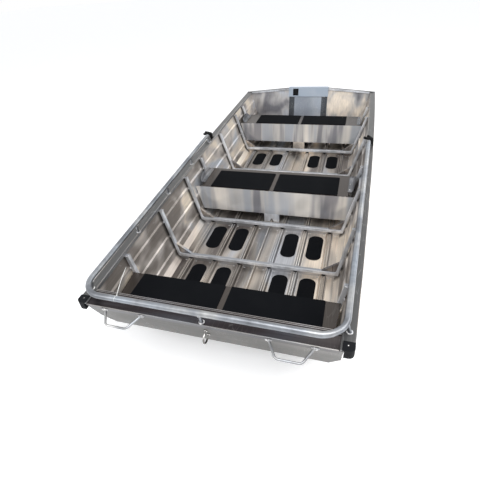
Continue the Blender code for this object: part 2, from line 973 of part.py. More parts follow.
def make_handles():
    height = gunwale_height - handle_height_below_deck
    lean = math.tan(bow_rake)
    face = bow_front - 2 * seat_gap - skin + (gunwale_height - skin - height) * lean
    normal = Vector((0, -math.cos(bow_rake), -math.sin(bow_rake)))
    foot_plane = (Vector((0, face, height)), normal)
    radius = handle_reach / 3
    for name, sign in (("bow_handle_port", 1), ("bow_handle_starboard", -1)):
        middle = sign * handle_centre

        def point(x, reach):
            share = reach / handle_reach
            return Vector((middle + x, face - reach, height - handle_drop * share))
        knee = (-handle_grip_half + radius / 2, handle_reach - radius)
        left = [point(-handle_foot_half, 0)]
        left += arc(knee, radius, math.pi * 0.88, math.pi / 2, 4, point)
        right = [Vector((2 * middle - p.x, p.y, p.z)) for p in reversed(left)]
        tube(name, left + right, handle_radius, tube_metal(), 8, (foot_plane, foot_plane))


def make_tow_eye():
    lean = Vector((0, -math.cos(bow_rake), -math.sin(bow_rake)))
    along = Vector((0, math.sin(bow_rake), -math.cos(bow_rake)))
    start = Vector((0, bow_plane(gunwale_height - eye_drop), gunwale_height - eye_drop))
    start += lean * seat_gap

    def place(reach, down):
        return start + lean * reach + along * down
    straight = eye_reach - eye_half_height
    route = [place(0, -eye_half_height)]
    route += arc((straight, 0), eye_half_height, -math.pi / 2, math.pi / 2, 10, place)
    route.append(place(0, eye_half_height))
    tube("tow_eye", route, eye_radius, stainless(), 10)


def cylinder(name, radius, low, high, x, y, finish, sides=24):
    turn = 2 * math.pi / sides
    rings = [
        [
            Vector((x + radius * math.cos(turn * k), y + radius * math.sin(turn * k), z))
            for k in range(sides)
        ]
        for z in (low, high)
    ]
    return loft(name, rings, finish, 40)


def make_rowlocks():
    for side, sign in (("port", 1), ("starboard", -1)):
        x = sign * (half_beam(rowlock_place) - rowlock_inset)
        y = rowlock_place
        base = gunwale_height + seat_gap
        top = base + socket_height
        half = socket_base_half
        narrow = socket_radius - skin / 3
        outline = [(x - narrow, y - half), (x + narrow, y - half)]
        outline += [(x + narrow, y + half), (x - narrow, y + half)]
        socket = prism(
            "rowlock_socket_" + side, outline, upright, base, base + socket_base_height,
            black_nylon(),
        )
        boss = cylinder("boss", socket_radius, base + skin, top, x, y, black_nylon())
        boolean(socket, boss, "UNION")
        bore = cylinder(
            "bore", pin_bore_radius, top - pin_length - skin, top + overrun, x, y, black_nylon(),
        )
        boolean(socket, bore, "DIFFERENCE")
        make_rowlock(side, x, y, top)


def make_rowlock(side, x, y, seat):
    """A fork with ball tips on a pin, modelled about its own axis and put in its socket."""
    collar = rowlock_lift + rowlock_collar_height
    lock = cylinder(
        "rowlock_" + side, pin_radius, -pin_length, collar, 0, 0, black_nylon(), 16,
    )
    ring = cylinder(
        "collar", rowlock_collar_radius, rowlock_lift, collar, 0, 0, black_nylon(), 16,
    )
    boolean(lock, ring, "UNION")

    def place(reach, aside):
        level = reach * math.cos(rowlock_rise)
        return Vector((-level, -aside, collar + reach * math.sin(rowlock_rise)))
    half = rowlock_half_opening
    horn = rowlock_middle + rowlock_horn
    route = [place(rowlock_tip_reach, rowlock_tip_half), place(horn, half)]
    route += arc((rowlock_middle, 0), half, math.pi / 2, 1.5 * math.pi, 10, place)
    route += [place(horn, -half), place(rowlock_tip_reach, -rowlock_tip_half)]
    boolean(lock, tube("fork", route, rowlock_bar_radius, black_nylon(), 10), "UNION")
    stem = [place(-pin_radius, 0), place(rowlock_middle - half + rowlock_bar_radius / 3, 0)]
    boolean(lock, tube("stem", stem, rowlock_tip_radius, black_nylon(), 9), "UNION")
    for tip in (route[0], route[-1]):
        mesh = bpy.data.meshes.new("tip")
        ball = bmesh.new()
        bmesh.ops.create_icosphere(ball, subdivisions=2, radius=rowlock_tip_radius)
        ball.to_mesh(mesh)
        ball.free()
        mesh.transform(Matrix.Translation(tip))
        knob = bpy.data.objects.new("tip", mesh)
        bpy.context.collection.objects.link(knob)
        boolean(lock, knob, "UNION")
    lock.data.transform(Matrix.Rotation(rowlock_turns[side], len(lock.matrix_world), "Z"))
    lock.location = (x, y, seat)


def main():
    clear_scene()
    make_bottom()
    make_chines()
    make_keels()
    make_sides()
    make_bow_plate()
    make_bow_deck()
    make_gunwales()
    make_transom()
    make_transom_caps()
    make_motor_pad()
    make_transom_panel()
    make_ribs()
    for kind in bench_table:
        make_bench(kind)
        make_bench_pads(kind)
    for kind in ("middle", "stern"):
        make_block(kind)
    make_floor_pads()
    make_rail()
    make_corner_caps()
    make_handles()
    make_tow_eye()
    make_rowlocks()


main()
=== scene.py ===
# %% [markdown]
# # A flat-bottom aluminium fishing boat
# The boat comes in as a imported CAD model: bare shapes, in metres, each in its place.
# This lesson gives it what a photograph shows and CAD leaves out. That is rolled and
# brushed metal, round tube, weld beads, foam pads, rivets and screws.
# The bow points to minus Y, and plus X is port, the boat's left side.

# %% Load the boat and measure it
import json
import math
import random

import bmesh
import bpy
from mathutils import Matrix, Vector

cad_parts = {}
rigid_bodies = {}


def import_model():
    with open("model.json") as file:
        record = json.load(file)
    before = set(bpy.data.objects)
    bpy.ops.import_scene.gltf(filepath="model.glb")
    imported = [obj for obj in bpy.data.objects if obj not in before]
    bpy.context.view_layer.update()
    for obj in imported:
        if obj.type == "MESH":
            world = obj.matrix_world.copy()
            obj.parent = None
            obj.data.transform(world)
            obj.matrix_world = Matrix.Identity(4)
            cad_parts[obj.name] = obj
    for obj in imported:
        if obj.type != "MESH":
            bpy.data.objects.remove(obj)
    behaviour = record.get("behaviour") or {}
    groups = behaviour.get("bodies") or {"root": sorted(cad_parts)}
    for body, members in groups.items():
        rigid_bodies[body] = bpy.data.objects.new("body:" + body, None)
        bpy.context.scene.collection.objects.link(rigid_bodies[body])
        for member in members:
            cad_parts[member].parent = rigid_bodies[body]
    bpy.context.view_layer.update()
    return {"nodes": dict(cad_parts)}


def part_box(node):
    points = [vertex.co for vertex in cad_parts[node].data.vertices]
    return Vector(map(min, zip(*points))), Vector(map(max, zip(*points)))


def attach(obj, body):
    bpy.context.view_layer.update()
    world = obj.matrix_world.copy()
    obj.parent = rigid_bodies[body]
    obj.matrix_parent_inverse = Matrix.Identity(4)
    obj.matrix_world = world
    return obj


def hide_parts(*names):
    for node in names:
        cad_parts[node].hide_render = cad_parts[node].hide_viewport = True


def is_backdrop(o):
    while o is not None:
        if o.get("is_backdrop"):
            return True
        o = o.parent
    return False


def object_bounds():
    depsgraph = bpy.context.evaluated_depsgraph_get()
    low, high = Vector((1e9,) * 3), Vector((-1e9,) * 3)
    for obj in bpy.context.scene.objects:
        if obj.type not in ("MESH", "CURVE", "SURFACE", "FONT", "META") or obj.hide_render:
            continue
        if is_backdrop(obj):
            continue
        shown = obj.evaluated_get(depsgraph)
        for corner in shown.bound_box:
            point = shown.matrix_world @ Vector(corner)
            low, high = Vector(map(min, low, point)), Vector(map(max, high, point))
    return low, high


for leftover in list(bpy.data.objects):
    bpy.data.objects.remove(leftover, do_unlink=True)
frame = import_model()
nodes = frame["nodes"]

# %% [markdown]
# ## The camera
# The photograph was taken standing off the port bow and looking down along the boat.
# A camera can be aimed by hand, or fitted to points whose real places are known. The
# fit gives three axes and a place, and they go straight into the camera's matrix.

# %% Camera
scene = bpy.context.scene
scene.view_settings.view_transform = "Standard"
to_right = Vector((0.95756, 0.27754, -0.07777))
to_below = Vector((0.10919, -0.59897, -0.79331))
ahead = Vector((-0.26675, 0.75115, -0.60385))
stand = Vector((0.5833, -2.8330, 1.7866))
columns = [to_right, -to_below, -ahead, stand]
lens_data = bpy.data.cameras.new("photo_camera")
lens_data.sensor_width = 36
lens_data.lens = 27.23
lens_data.clip_start = 0.05
camera = bpy.data.objects.new("photo_camera", lens_data)
camera.matrix_world = Matrix([[column[row] for column in columns] for row in range(3)] + [[0, 0, 0, 1]])
scene.collection.objects.link(camera)
scene.camera = camera
print("camera height:", round(stand.z, 2), "lens:", lens_data.lens)

# %% [markdown]
# ## Helpers for shader nodes
# A material is a small network. These helpers keep the cells short: one places a node
# and feeds its sockets with numbers, colours or other nodes' sockets, and the rest are
# the steps that come back most often.


# %% Node helpers
def fill(tree, item, *values, **inputs):
    """Feed a node: values go to its sockets in order, and inputs to sockets by name."""
    named = [(label.replace("_", " "), value) for label, value in inputs.items()]
    for label, value in list(enumerate(values)) + named:
        if isinstance(value, bpy.types.NodeSocket):
            tree.links.new(value, item.inputs[label])
        else:
            item.inputs[label].default_value = value


def add(tree, kind, *values, options=None, **inputs):
    """Place a node, choose its options and feed it."""
    made = tree.nodes.new(kind)
    for option, value in (options or {}).items():
        setattr(made, option, value)
    fill(tree, made, *values, **inputs)
    return made


def maths(tree, operation, *values, clamp=False):
    options = {"operation": operation, "use_clamp": clamp}
    return add(tree, "ShaderNodeMath", *values, options=options).outputs[0]


def vector_maths(tree, operation, *values, result="Vector"):
    options = {"operation": operation}
    return add(tree, "ShaderNodeVectorMath", *values, options=options).outputs[result]


def fit(tree, value, low, high, to_low=0.0, to_high=1.0, kind="LINEAR"):
    """Map a range of values to another range, and hold both ends."""
    options = {"interpolation_type": kind}
    ends = (low, high, to_low, to_high)
    return add(tree, "ShaderNodeMapRange", value, *ends, options=options).outputs["Result"]


def blend(tree, share, a, b, kind="MIX"):
    """Mix two colours."""
    options = {"data_type": "RGBA", "blend_type": kind}
    return add(tree, "ShaderNodeMix", options=options, Factor=share, A=a, B=b).outputs["Result"]


def lay_out(tree):
    """Spread the nodes in columns so that the network can be read."""
    for place, item in enumerate(tree.nodes):
        item.location = (220 * (place % 6) - 700, 300 - 260 * (place // 6))


def new_material(name):
    """A material, its tree and its shader."""
    made = bpy.data.materials.new(name)
    made.use_nodes = True
    return made, made.node_tree, made.node_tree.nodes["Principled BSDF"]


def seen_rays(tree):
    """1 for rays from the camera, off a mirror or through glass, 0 for scattered light."""
    rays = add(tree, "ShaderNodeLightPath").outputs
    seen = maths(tree, "MAXIMUM", rays["Is Camera Ray"], rays["Is Glossy Ray"])
    return maths(tree, "MAXIMUM", seen, rays["Is Transmission Ray"])


print("node helpers:", [helper.__name__ for helper in (fill, add, maths, vector_maths, fit, blend)])

# %% [markdown]
# ## Light and backdrop
# Bare metal has no look of its own: it shows what stands round it. A soft white room
# lights the boat evenly, and a few broad lamps lay long highlights on the tubes. The
# world shows as plain white to the camera and to mirrors, so metal reflects the same
# backdrop that the picture has. Only the scattered light comes in at a lower level.

# %% World
world = bpy.data.worlds.new("soft_room")
scene.world = world
world.use_nodes = True
sky = world.node_tree
sky.nodes.clear()
lit = add(sky, "ShaderNodeBackground", Color=(0.95, 0.97, 1.0, 1), Strength=0.72)
white = add(sky, "ShaderNodeBackground", Color=(1, 1, 1, 1), Strength=1.0)
either = add(sky, "ShaderNodeMixShader", seen_rays(sky), lit.outputs[0], white.outputs[0])
add(sky, "ShaderNodeOutputWorld", Surface=either.outputs[0])
print("world nodes:", len(sky.nodes))


# %% Lamps
for name, place, target, width, run, watts, colour in (
    ("high_lamp", (0.9, -2.4, 4.4), (0, 0.2, 0.3), 3.4, 3.0, 130, (1, 1, 1)),
    ("port_lamp", (3.4, -0.6, 2.9), (0, 0.2, 0.2), 2.6, 1.8, 60, (1, 0.98, 0.95)),
    ("bow_lamp", (-2.6, -3.6, 2.6), (0, -0.6, 0.3), 2.0, 2.0, 30, (1, 0.98, 0.95)),
    ("stern_lamp", (2.8, 3.6, 2.4), (0, 0.8, 0.3), 2.0, 2.0, 25, (0.95, 0.98, 1)),
):
    data = bpy.data.lights.new(name, "AREA")
    data.shape = "RECTANGLE"
    data.size, data.size_y = width, run
    data.energy, data.color = watts, colour
    lamp = bpy.data.objects.new(name, data)
    lamp.location = place
    lamp.rotation_mode = "QUATERNION"
    lamp.rotation_quaternion = (Vector(target) - Vector(place)).to_track_quat("-Z", "Y")
    scene.collection.objects.link(lamp)
    print(name, "watts:", watts)

# %% [markdown]
# ## Effects that several finishes share
# Rolled sheet has a fine grain along the direction in which it went through the mill.
# Bright sheet also mirrors what stands round it, bent and blurred, as broad, soft patches
# of warm and cool tone, and here these reflections are painted into its colour. Both can be
# made of noise: the grain is noise that is squeezed across and pulled out along, and the
# painted reflections are large noise bent by another one. Each is a group, so that every metal uses it
# with its own numbers.


# %% Group: mill grain
def new_group(name, outs, **ins):
    """Start a shader node group; the kind of a socket follows from its first value."""
    group = bpy.data.node_groups.new(name, "ShaderNodeTree")
    for direction, rows in (("INPUT", ins), ("OUTPUT", outs)):
        for label, value in rows.items():
            kind = "Float" if isinstance(value, float) else "Color" if len(value) == 4 else "Vector"
            group.interface.new_socket(
                name=label, in_out=direction, socket_type="NodeSocket" + kind
            ).default_value = value
    return group, group.nodes.new("NodeGroupInput").outputs, group.nodes.new("NodeGroupOutput")


origin = (0.0, 0.0, 0.0)
mill_grain, given, leave = new_group(
    "mill_grain", {"Grain": 0.0, "Roughness": 0.0},
    Vector=origin, Stretch=(260.0, 3.0, 260.0), Rough=0.3, Spread=0.12,
)
pulled = vector_maths(mill_grain, "MULTIPLY", given["Vector"], given["Stretch"])
grain_noise = add(mill_grain, "ShaderNodeTexNoise", Vector=pulled, Scale=1.0, Detail=3.0, Roughness=0.55)
grain_lines = grain_noise.outputs["Fac"]
about_zero = maths(mill_grain, "SUBTRACT", grain_lines, 0.5)
grain_rough = maths(mill_grain, "MULTIPLY_ADD", about_zero, given["Spread"], given["Rough"], clamp=True)
fill(mill_grain, leave, Grain=grain_lines, Roughness=grain_rough)
lay_out(mill_grain)
print("group:", mill_grain.name, len(mill_grain.nodes))

# %% Group: painted reflections
# Warm, cool, light and dark patches of colour: a painted reflection of the room.
painted_reflections, given, leave = new_group(
    "painted_reflections", {"Color": (0, 0, 0, 1)},
    Vector=origin, Stretch=(1.0, 1.0, 1.0), Bend=0.4, Low=0.38, High=0.64, Dark=(0.12, 0.11, 0.10, 1),
    Middle=(0.35, 0.34, 0.34, 1), Light=(0.75, 0.68, 0.58, 1), Cool=(0.42, 0.47, 0.55, 1),
)
scaled = vector_maths(painted_reflections, "MULTIPLY", given["Vector"], given["Stretch"])
swirl = add(painted_reflections, "ShaderNodeTexNoise", Vector=scaled, Scale=0.9, Detail=1.0)
bent = vector_maths(painted_reflections, "MULTIPLY_ADD", swirl.outputs["Color"], given["Bend"], scaled)
patch = add(painted_reflections, "ShaderNodeTexNoise", Vector=bent, Scale=1.0, Detail=2.0, Roughness=0.45)
far_off = vector_maths(painted_reflections, "ADD", bent, (7.3, 2.1, 5.7))
second = add(painted_reflections, "ShaderNodeTexNoise", Vector=far_off, Scale=0.55, Detail=1.0)
level = fit(painted_reflections, patch.outputs["Fac"], given["Low"], given["High"], kind="SMOOTHSTEP")
cool_mask = fit(painted_reflections, second.outputs["Fac"], 0.46, 0.60, kind="SMOOTHSTEP")
low_half = blend(painted_reflections, fit(painted_reflections, level, 0.0, 0.5), given["Dark"], given["Middle"])
warm_or_cool = blend(painted_reflections, cool_mask, given["Light"], given["Cool"])
whole = blend(painted_reflections, fit(painted_reflections, level, 0.5, 1.0), low_half, warm_or_cool)
fill(painted_reflections, leave, Color=whole)
lay_out(painted_reflections)
print("group:", painted_reflections.name, len(painted_reflections.nodes))

# %% [markdown]
# Sheet that people tread on and weld picks up scuffs: short, thin scratches that lie in
# any direction, and dull smudges. Voronoi cells pulled out long make good scratches when
# only the lines between them are kept, and a mask of noise leaves them in patches.

# %% Group: scuffs
scuffs, given, leave = new_group(
    "scuffs", {"Scratch": 0.0, "Smudge": 0.0}, Vector=origin, Size=60.0, Amount=0.4
)
turned = add(
    scuffs, "ShaderNodeMapping", Vector=given["Vector"], Rotation=(0.4, 0.3, 0.6), Scale=(1.0, 0.12, 1.0)
)
cells = add(
    scuffs, "ShaderNodeTexVoronoi", options={"feature": "DISTANCE_TO_EDGE"},
    Vector=turned.outputs["Vector"], Scale=given["Size"],
)
smear = add(scuffs, "ShaderNodeTexNoise", Vector=given["Vector"], Scale=5.0, Detail=4.0, Roughness=0.6)
between_cells = fit(scuffs, cells.outputs["Distance"], 0.03, 0.0)
smudge = fit(scuffs, smear.outputs["Fac"], 0.45, 0.7)
scratches = maths(scuffs, "MULTIPLY", between_cells, smudge)
faint = maths(scuffs, "MULTIPLY", scratches, given["Amount"], clamp=True)
fill(scuffs, leave, Scratch=faint, Smudge=smudge)
lay_out(scuffs)
print("group:", scuffs.name, len(scuffs.nodes))

# %% [markdown]
# ## Metal finishes
# One function makes every aluminium, because they differ only in their numbers: which
# way the grain runs, how large the painted reflection patches are, and how dark and how
# warm their tones are. The painted reflections feed the colour, with a painted shade on
# faces that look up and painted shade by place, and the grain feeds the roughness and a
# weak bump that breaks up the highlights. The metal is not fully metallic, because mill
# aluminium has a thin dull skin of oxide.


# %% Sheet metal
def tone_by_place(tree, place, axis, span, stops, fold=None):
    """A grey multiplier by the distance along one axis; fold repeats it to and fro."""
    run = add(tree, "ShaderNodeSeparateXYZ", place).outputs[axis]
    if axis == "X":
        run = maths(tree, "ABSOLUTE", run)
    if fold:
        run = maths(tree, "PINGPONG", maths(tree, "SUBTRACT", run, fold[0]), fold[1])
    band = add(tree, "ShaderNodeValToRGB", fit(tree, run, *span))
    ramp = band.color_ramp
    for index, (where, grey) in enumerate(stops):
        spot = (where - span[0]) / (span[1] - span[0])
        stop = ramp.elements[index] if index < 2 else ramp.elements.new(spot)
        stop.position, stop.color = spot, (grey, grey, grey, 1)
    return band.outputs["Color"]


def group_node(tree, group, place, **inputs):
    return add(tree, "ShaderNodeGroup", options={"node_tree": group}, Vector=place, **inputs).outputs


inside_middle = (0, 0, 0.6)
bare_scratch = (0.82, 0.81, 0.79, 1)


def sheet_metal(
    name, grain, patch_stretch, tones, rough=0.34, metallic=0.85, bend=0.6, spread=0.2,
    levels=(0.36, 0.66), scratch=0.35, bump=0.06, top=None, streaks=(0.86, 1.12), shades=(), outside=None,
):
    """Aluminium: tones are the dark, middle, light and cool tones of the painted reflection
    patches, top is a painted shade, the tone of faces that look up, shades are painted shade
    by place, and outside is the plain tone of faces that look away from the middle of the boat."""
    made, tree, shader = new_material(name)
    coordinates = add(tree, "ShaderNodeTexCoord").outputs
    place, normal = coordinates["Object"], coordinates["Normal"]
    rolled = group_node(tree, mill_grain, place, Stretch=grain, Rough=rough, Spread=spread)
    dark, middle, light, cool = [(*tone, 1) for tone in tones]
    # The painted reflection patches give the base colour.
    patches = group_node(
        tree, painted_reflections, place, Stretch=patch_stretch, Bend=bend, Low=levels[0], High=levels[1],
        Dark=dark, Middle=middle, Light=light, Cool=cool,
    )
    worn = group_node(tree, scuffs, place, Size=45.0, Amount=scratch)
    streak = fit(tree, rolled["Grain"], 0.3, 0.7, *streaks)
    colour = blend(tree, 1.0, patches["Color"], streak, "MULTIPLY")
    # Faces that look up take their own tone: a painted shade.
    if top:
        upward_part = add(tree, "ShaderNodeSeparateXYZ", normal).outputs["Z"]
        colour = blend(tree, fit(tree, upward_part, 0.5, 0.8), colour, (*top, 1))
    # Painted shade by place on the boat, from the table of places.
    for shade in shades:
        colour = blend(tree, 1.0, colour, tone_by_place(tree, place, *shade), "MULTIPLY")
    if outside:
        from_middle = vector_maths(tree, "SUBTRACT", place, inside_middle)
        turned_out = vector_maths(tree, "DOT_PRODUCT", from_middle, normal, result="Value")
        colour = blend(tree, fit(tree, turned_out, -0.02, 0.02), colour, (*outside, 1))
    relief = add(tree, "ShaderNodeBump", Strength=bump, Distance=0.002, Height=rolled["Grain"])
    fill(
        tree, shader, Base_Color=blend(tree, worn["Scratch"], colour, bare_scratch),
        Roughness=rolled["Roughness"], Normal=relief.outputs["Normal"], Metallic=metallic,
    )
    lay_out(tree)
    return made


print("a bare scratch shows:", bare_scratch[:3])

# %% [markdown]
# Some painted shade and painted highlight belong to a place on the boat and not to the sheet:
# the ridges of the floor get painted shade between painted highlights along their edges,
# the middle of the floor and the strips beside the motor panel get painted shade, and the
# sides get painted shade close behind each rib. They are painted by distance, so the places
# of ribs and ridges come first.

# %% Places of the ribs and ridges
rib_at = {1: -1.438, 2: -0.940, 3: -0.448, 4: -0.086, 5: 0.480, 6: 1.031, 7: 1.338}
ridge_first, ridge_step = 0.11102, 0.19001
lanes = sorted(sign * (ridge_first + ridge_step * k) for k in range(3) for sign in (-1, 1))
# Painted shade on the ridges, with painted highlights along their lines and feet.
ridge_shade = ("X", (0.0, 0.05), (
    (0.0, 0.42), (0.0045, 0.45), (0.0062, 1.25), (0.0092, 1.25), (0.0115, 0.62), (0.022, 0.70),
    (0.0245, 1.15), (0.028, 1.1), (0.033, 0.92), (0.05, 1.0),
), (ridge_first, ridge_step / 2))
# Painted shade along the middle of the floor.
centre_shade = ("X", (0.0, 0.12), ((0.0, 0.50), (0.070, 0.62), (0.090, 1.0), (0.12, 1.0)))
# Painted shade on the sides close behind each rib.
shade_behind_ribs = ("Y", (-1.85, 1.85), [(-1.85, 0.9)] + [
    (y + step, grey) for y in list(rib_at.values())[1:]
    for step, grey in ((-0.034, 1.0), (-0.022, 0.22), (0.014, 0.22), (0.024, 1.0))
] + [(1.85, 1.0)])
# Painted shade on the strips beside the motor panel.
panel_shade = ("X", (0.15, 0.20), ((0.15, 1.0), (0.162, 1.0), (0.166, 0.22), (0.20, 0.22)))
print("ribs:", len(rib_at), "ridge lanes:", [round(lane, 3) for lane in lanes])

# %% Metals of the hull
along = (90.0, 2.5, 90.0)
across_sheet = (2.5, 90.0, 90.0)
upward = (70.0, 70.0, 1.5)
plain_outside = (0.40, 0.40, 0.41)
floor_metal = sheet_metal(
    "rolled_floor_sheet", along, (5.0, 1.6, 4.0),
    ((0.16, 0.14, 0.13), (0.45, 0.41, 0.37), (0.90, 0.78, 0.65), (0.46, 0.47, 0.50)), metallic=0.7,
    shades=(ridge_shade, centre_shade), outside=(0.34, 0.34, 0.35),
)
side_metal = sheet_metal(
    "rolled_side_sheet", along, (1.5, 3.2, 5.5),
    ((0.24, 0.215, 0.195), (0.54, 0.50, 0.47), (0.93, 0.82, 0.68), (0.52, 0.55, 0.60)),
    metallic=0.5, bend=1.0, shades=(shade_behind_ribs,), outside=plain_outside,
)
chine_metal = sheet_metal(
    "chine_strip", along, (5.0, 1.6, 4.0),
    ((0.56, 0.50, 0.45), (0.86, 0.77, 0.67), (1.0, 0.90, 0.77), (0.68, 0.67, 0.67)), metallic=0.5,
    shades=(shade_behind_ribs,), outside=plain_outside,
)
# Much darker than the other hull sheet: painted shade on the bow plate.
bow_metal = sheet_metal(
    "bow_plate_sheet", across_sheet, (1.6, 3.0, 3.0),
    ((0.055, 0.051, 0.046), (0.088, 0.083, 0.076), (0.135, 0.128, 0.118), (0.098, 0.10, 0.104)),
)
# Almost black: a painted dark reflection on the deck.
deck_metal = sheet_metal(
    "bow_deck_sheet", across_sheet, (1.4, 9.0, 9.0),
    ((0.016, 0.013, 0.015), (0.035, 0.029, 0.032), (0.085, 0.075, 0.075), (0.06, 0.06, 0.07)),
    rough=0.30, scratch=0.08,
)
gunwale_metal = sheet_metal(
    "gunwale_extrusion", along, (6.0, 1.0, 6.0),
    ((0.20, 0.20, 0.205), (0.36, 0.36, 0.37), (0.56, 0.55, 0.54), (0.40, 0.42, 0.46)),
    metallic=0.6, top=(0.105, 0.105, 0.105),
)
transom_metal = sheet_metal(
    "transom_sheet", upward, (3.6, 3.0, 3.2),
    ((0.17, 0.17, 0.19), (0.46, 0.45, 0.45), (0.90, 0.80, 0.68), (0.44, 0.48, 0.55)),
    metallic=0.65, bend=1.6, levels=(0.34, 0.62), outside=plain_outside,
)
panel_metal = sheet_metal(
    "motor_panel_sheet", upward, (3.0, 3.0, 3.0),
    ((0.28, 0.31, 0.36), (0.38, 0.41, 0.46), (0.50, 0.52, 0.55), (0.38, 0.43, 0.50)), metallic=0.7,
    streaks=(0.95, 1.05), shades=(panel_shade,),
)
# Its light streaks across the skirts are painted reflections, and its dark top is painted shade.
bench_metal = sheet_metal(
    "bright_bench_sheet", upward, (11.0, 2.0, 1.0),
    ((0.36, 0.36, 0.39), (0.74, 0.725, 0.71), (1.0, 0.96, 0.90), (0.60, 0.63, 0.68)),
    rough=0.22, metallic=0.40, bend=0.25, levels=(0.35, 0.59), top=(0.060, 0.050, 0.044),
    streaks=(0.97, 1.03), scratch=0.06,
)
print("metals:", [m.name for m in bpy.data.materials if m.use_nodes])

# %% Metals of the tubes, ribs and small pieces
tube_finish = sheet_metal(
    "satin_tube", (40.0, 40.0, 40.0), (5.0, 5.0, 5.0),
    ((0.18, 0.19, 0.21), (0.27, 0.285, 0.31), (0.38, 0.385, 0.39), (0.29, 0.32, 0.36)),
    spread=0.10, scratch=0.15,
)
rod_finish = sheet_metal(
    "handle_rod", (40.0, 40.0, 40.0), (8.0, 8.0, 8.0),
    ((0.22, 0.225, 0.235), (0.34, 0.345, 0.355), (0.50, 0.50, 0.50), (0.35, 0.365, 0.39)),
    rough=0.30, metallic=0.8, spread=0.10, scratch=0.15,
)
rib_finish = sheet_metal(
    "rib_box_section", (50.0, 50.0, 12.0), (7.0, 7.0, 7.0),
    ((0.42, 0.43, 0.45), (0.60, 0.61, 0.64), (0.80, 0.80, 0.81), (0.62, 0.65, 0.70)),
    rough=0.36, metallic=0.25, top=(0.27, 0.28, 0.30),
)
gusset_metal = sheet_metal(
    "gusset_plate", upward, (8.0, 8.0, 8.0),
    ((0.13, 0.12, 0.12), (0.24, 0.225, 0.215), (0.50, 0.44, 0.38), (0.26, 0.28, 0.32)),
    rough=0.3, metallic=0.7,
)
# A lighter copy of the sheet metal for slim lines along ridges and edges: a painted highlight.
ridge_metal = sheet_metal(
    "bright_ridge_line", along, (8.0, 2.0, 8.0),
    ((0.34, 0.31, 0.28), (0.66, 0.60, 0.54), (0.95, 0.88, 0.78), (0.66, 0.68, 0.72)),
    rough=0.26, scratch=0.1, metallic=0.6,
)
hem_metal = sheet_metal(
    "folded_hem", across_sheet, (1.4, 9.0, 9.0),
    ((0.16, 0.15, 0.145), (0.30, 0.285, 0.275), (0.48, 0.46, 0.44), (0.32, 0.33, 0.35)),
    rough=0.3, metallic=0.7, scratch=0.05,
)
bracket_metal = sheet_metal(
    "bracket_bar", along, (6.0, 6.0, 6.0),
    ((0.09, 0.095, 0.105), (0.16, 0.165, 0.18), (0.27, 0.27, 0.28), (0.17, 0.185, 0.21)),
    rough=0.3, metallic=0.7,
)
print("small metals:", tube_finish.name, rod_finish.name, rib_finish.name, gusset_metal.name)

# %% [markdown]
# Welds and stainless parts are small but bright. A weld bead is a row of overlapping
# puddles, frosty white beside the brushed plate, so its finish is pale, rather rough and
# lumpy.

# %% Welds and stainless steel
weld_finish = sheet_metal(
    "weld_bead", (140.0, 140.0, 140.0), (60.0, 60.0, 60.0),
    ((0.36, 0.36, 0.37), (0.56, 0.56, 0.57), (0.86, 0.85, 0.83), (0.62, 0.64, 0.68)),
    rough=0.42, metallic=0.6, bump=0.4,
)
steel_finish = sheet_metal(
    "polished_steel", (80.0, 80.0, 80.0), (20.0, 20.0, 20.0),
    ((0.16, 0.15, 0.14), (0.42, 0.41, 0.40), (0.80, 0.79, 0.77), (0.50, 0.52, 0.55)),
    rough=0.16, metallic=1.0,
)
print("small finishes:", weld_finish.name, steel_finish.name)

# %% [markdown]
# ## Foam, rubber, nylon and plastic
# The seats and the floor carry closed-cell foam: almost black, dull, and covered with
# fine pores. Rubber and moulded nylon are black too, yet they show a soft shine and
# hardly any pores. They differ in the size and depth of one bump and in how rough they are.


# %% Soft and moulded finishes
def moulded(name, colour, pale, rough, pore_size, depth, specular=0.5):
    """Foam, rubber or plastic: fine pores, and dust that lies on it in soft patches."""
    made, tree, shader = new_material(name)
    place = add(tree, "ShaderNodeTexCoord").outputs["Object"]
    pores = add(tree, "ShaderNodeTexNoise", Vector=place, Scale=pore_size, Detail=4.0, Roughness=0.7)
    pores = pores.outputs["Fac"]
    worn = group_node(tree, scuffs, place, Size=30.0, Amount=0.25)
    dust = maths(tree, "MULTIPLY", worn["Smudge"], 0.5)
    relief = add(tree, "ShaderNodeBump", Strength=0.4, Distance=depth, Height=pores)
    fill(
        tree, shader, Base_Color=blend(tree, dust, (*colour, 1), (*pale, 1)),
        Roughness=fit(tree, pores, 0.0, 1.0, rough - 0.08, rough + 0.08),
        Normal=relief.outputs["Normal"], Specular_IOR_Level=specular,
    )
    lay_out(tree)
    return made


foam = moulded("black_foam", (0.0036, 0.0042, 0.0054), (0.0064, 0.0068, 0.0080), 0.85, 900.0, 0.0008, 0.06)
rubber = moulded("cap_rubber", (0.0035, 0.0042, 0.006), (0.007, 0.0075, 0.009), 0.6, 300.0, 0.0006, 0.15)
nylon = moulded("moulded_nylon", (0.0045, 0.0045, 0.005), (0.007, 0.007, 0.0075), 0.5, 200.0, 0.0005, 0.12)
pad_plastic = moulded("grey_pad_board", (0.36, 0.42, 0.50), (0.46, 0.50, 0.56), 0.5, 150.0, 0.0006)
tie_plastic = moulded("tie_nylon", (0.68, 0.68, 0.66), (0.78, 0.78, 0.76), 0.45, 120.0, 0.0003)
print("moulded:", foam.name, rubber.name, nylon.name, pad_plastic.name, tie_plastic.name)

# %% [markdown]
# ## Dressing the CAD nodes
# Most of the hull keeps its CAD shape, for the folded sheet is right as it is. Each node
# gets its finish, and some have their knife-sharp edges broken with a small bevel: real
# plate always has a thin bright line along an edge. The weld modifier first joins the
# corners that the file format keeps apart, and weighted normals keep the faces flat.


# %% Finish by node
def break_edges(piece, width, steps, angle):
    """Round the edges that turn by more than an angle."""
    soft = piece.modifiers.new("broken_edge", "BEVEL")
    soft.width = width
    soft.segments = steps
    soft.limit_method = "ANGLE"
    soft.angle_limit = math.radians(angle)
    soft.harden_normals = False
    return soft


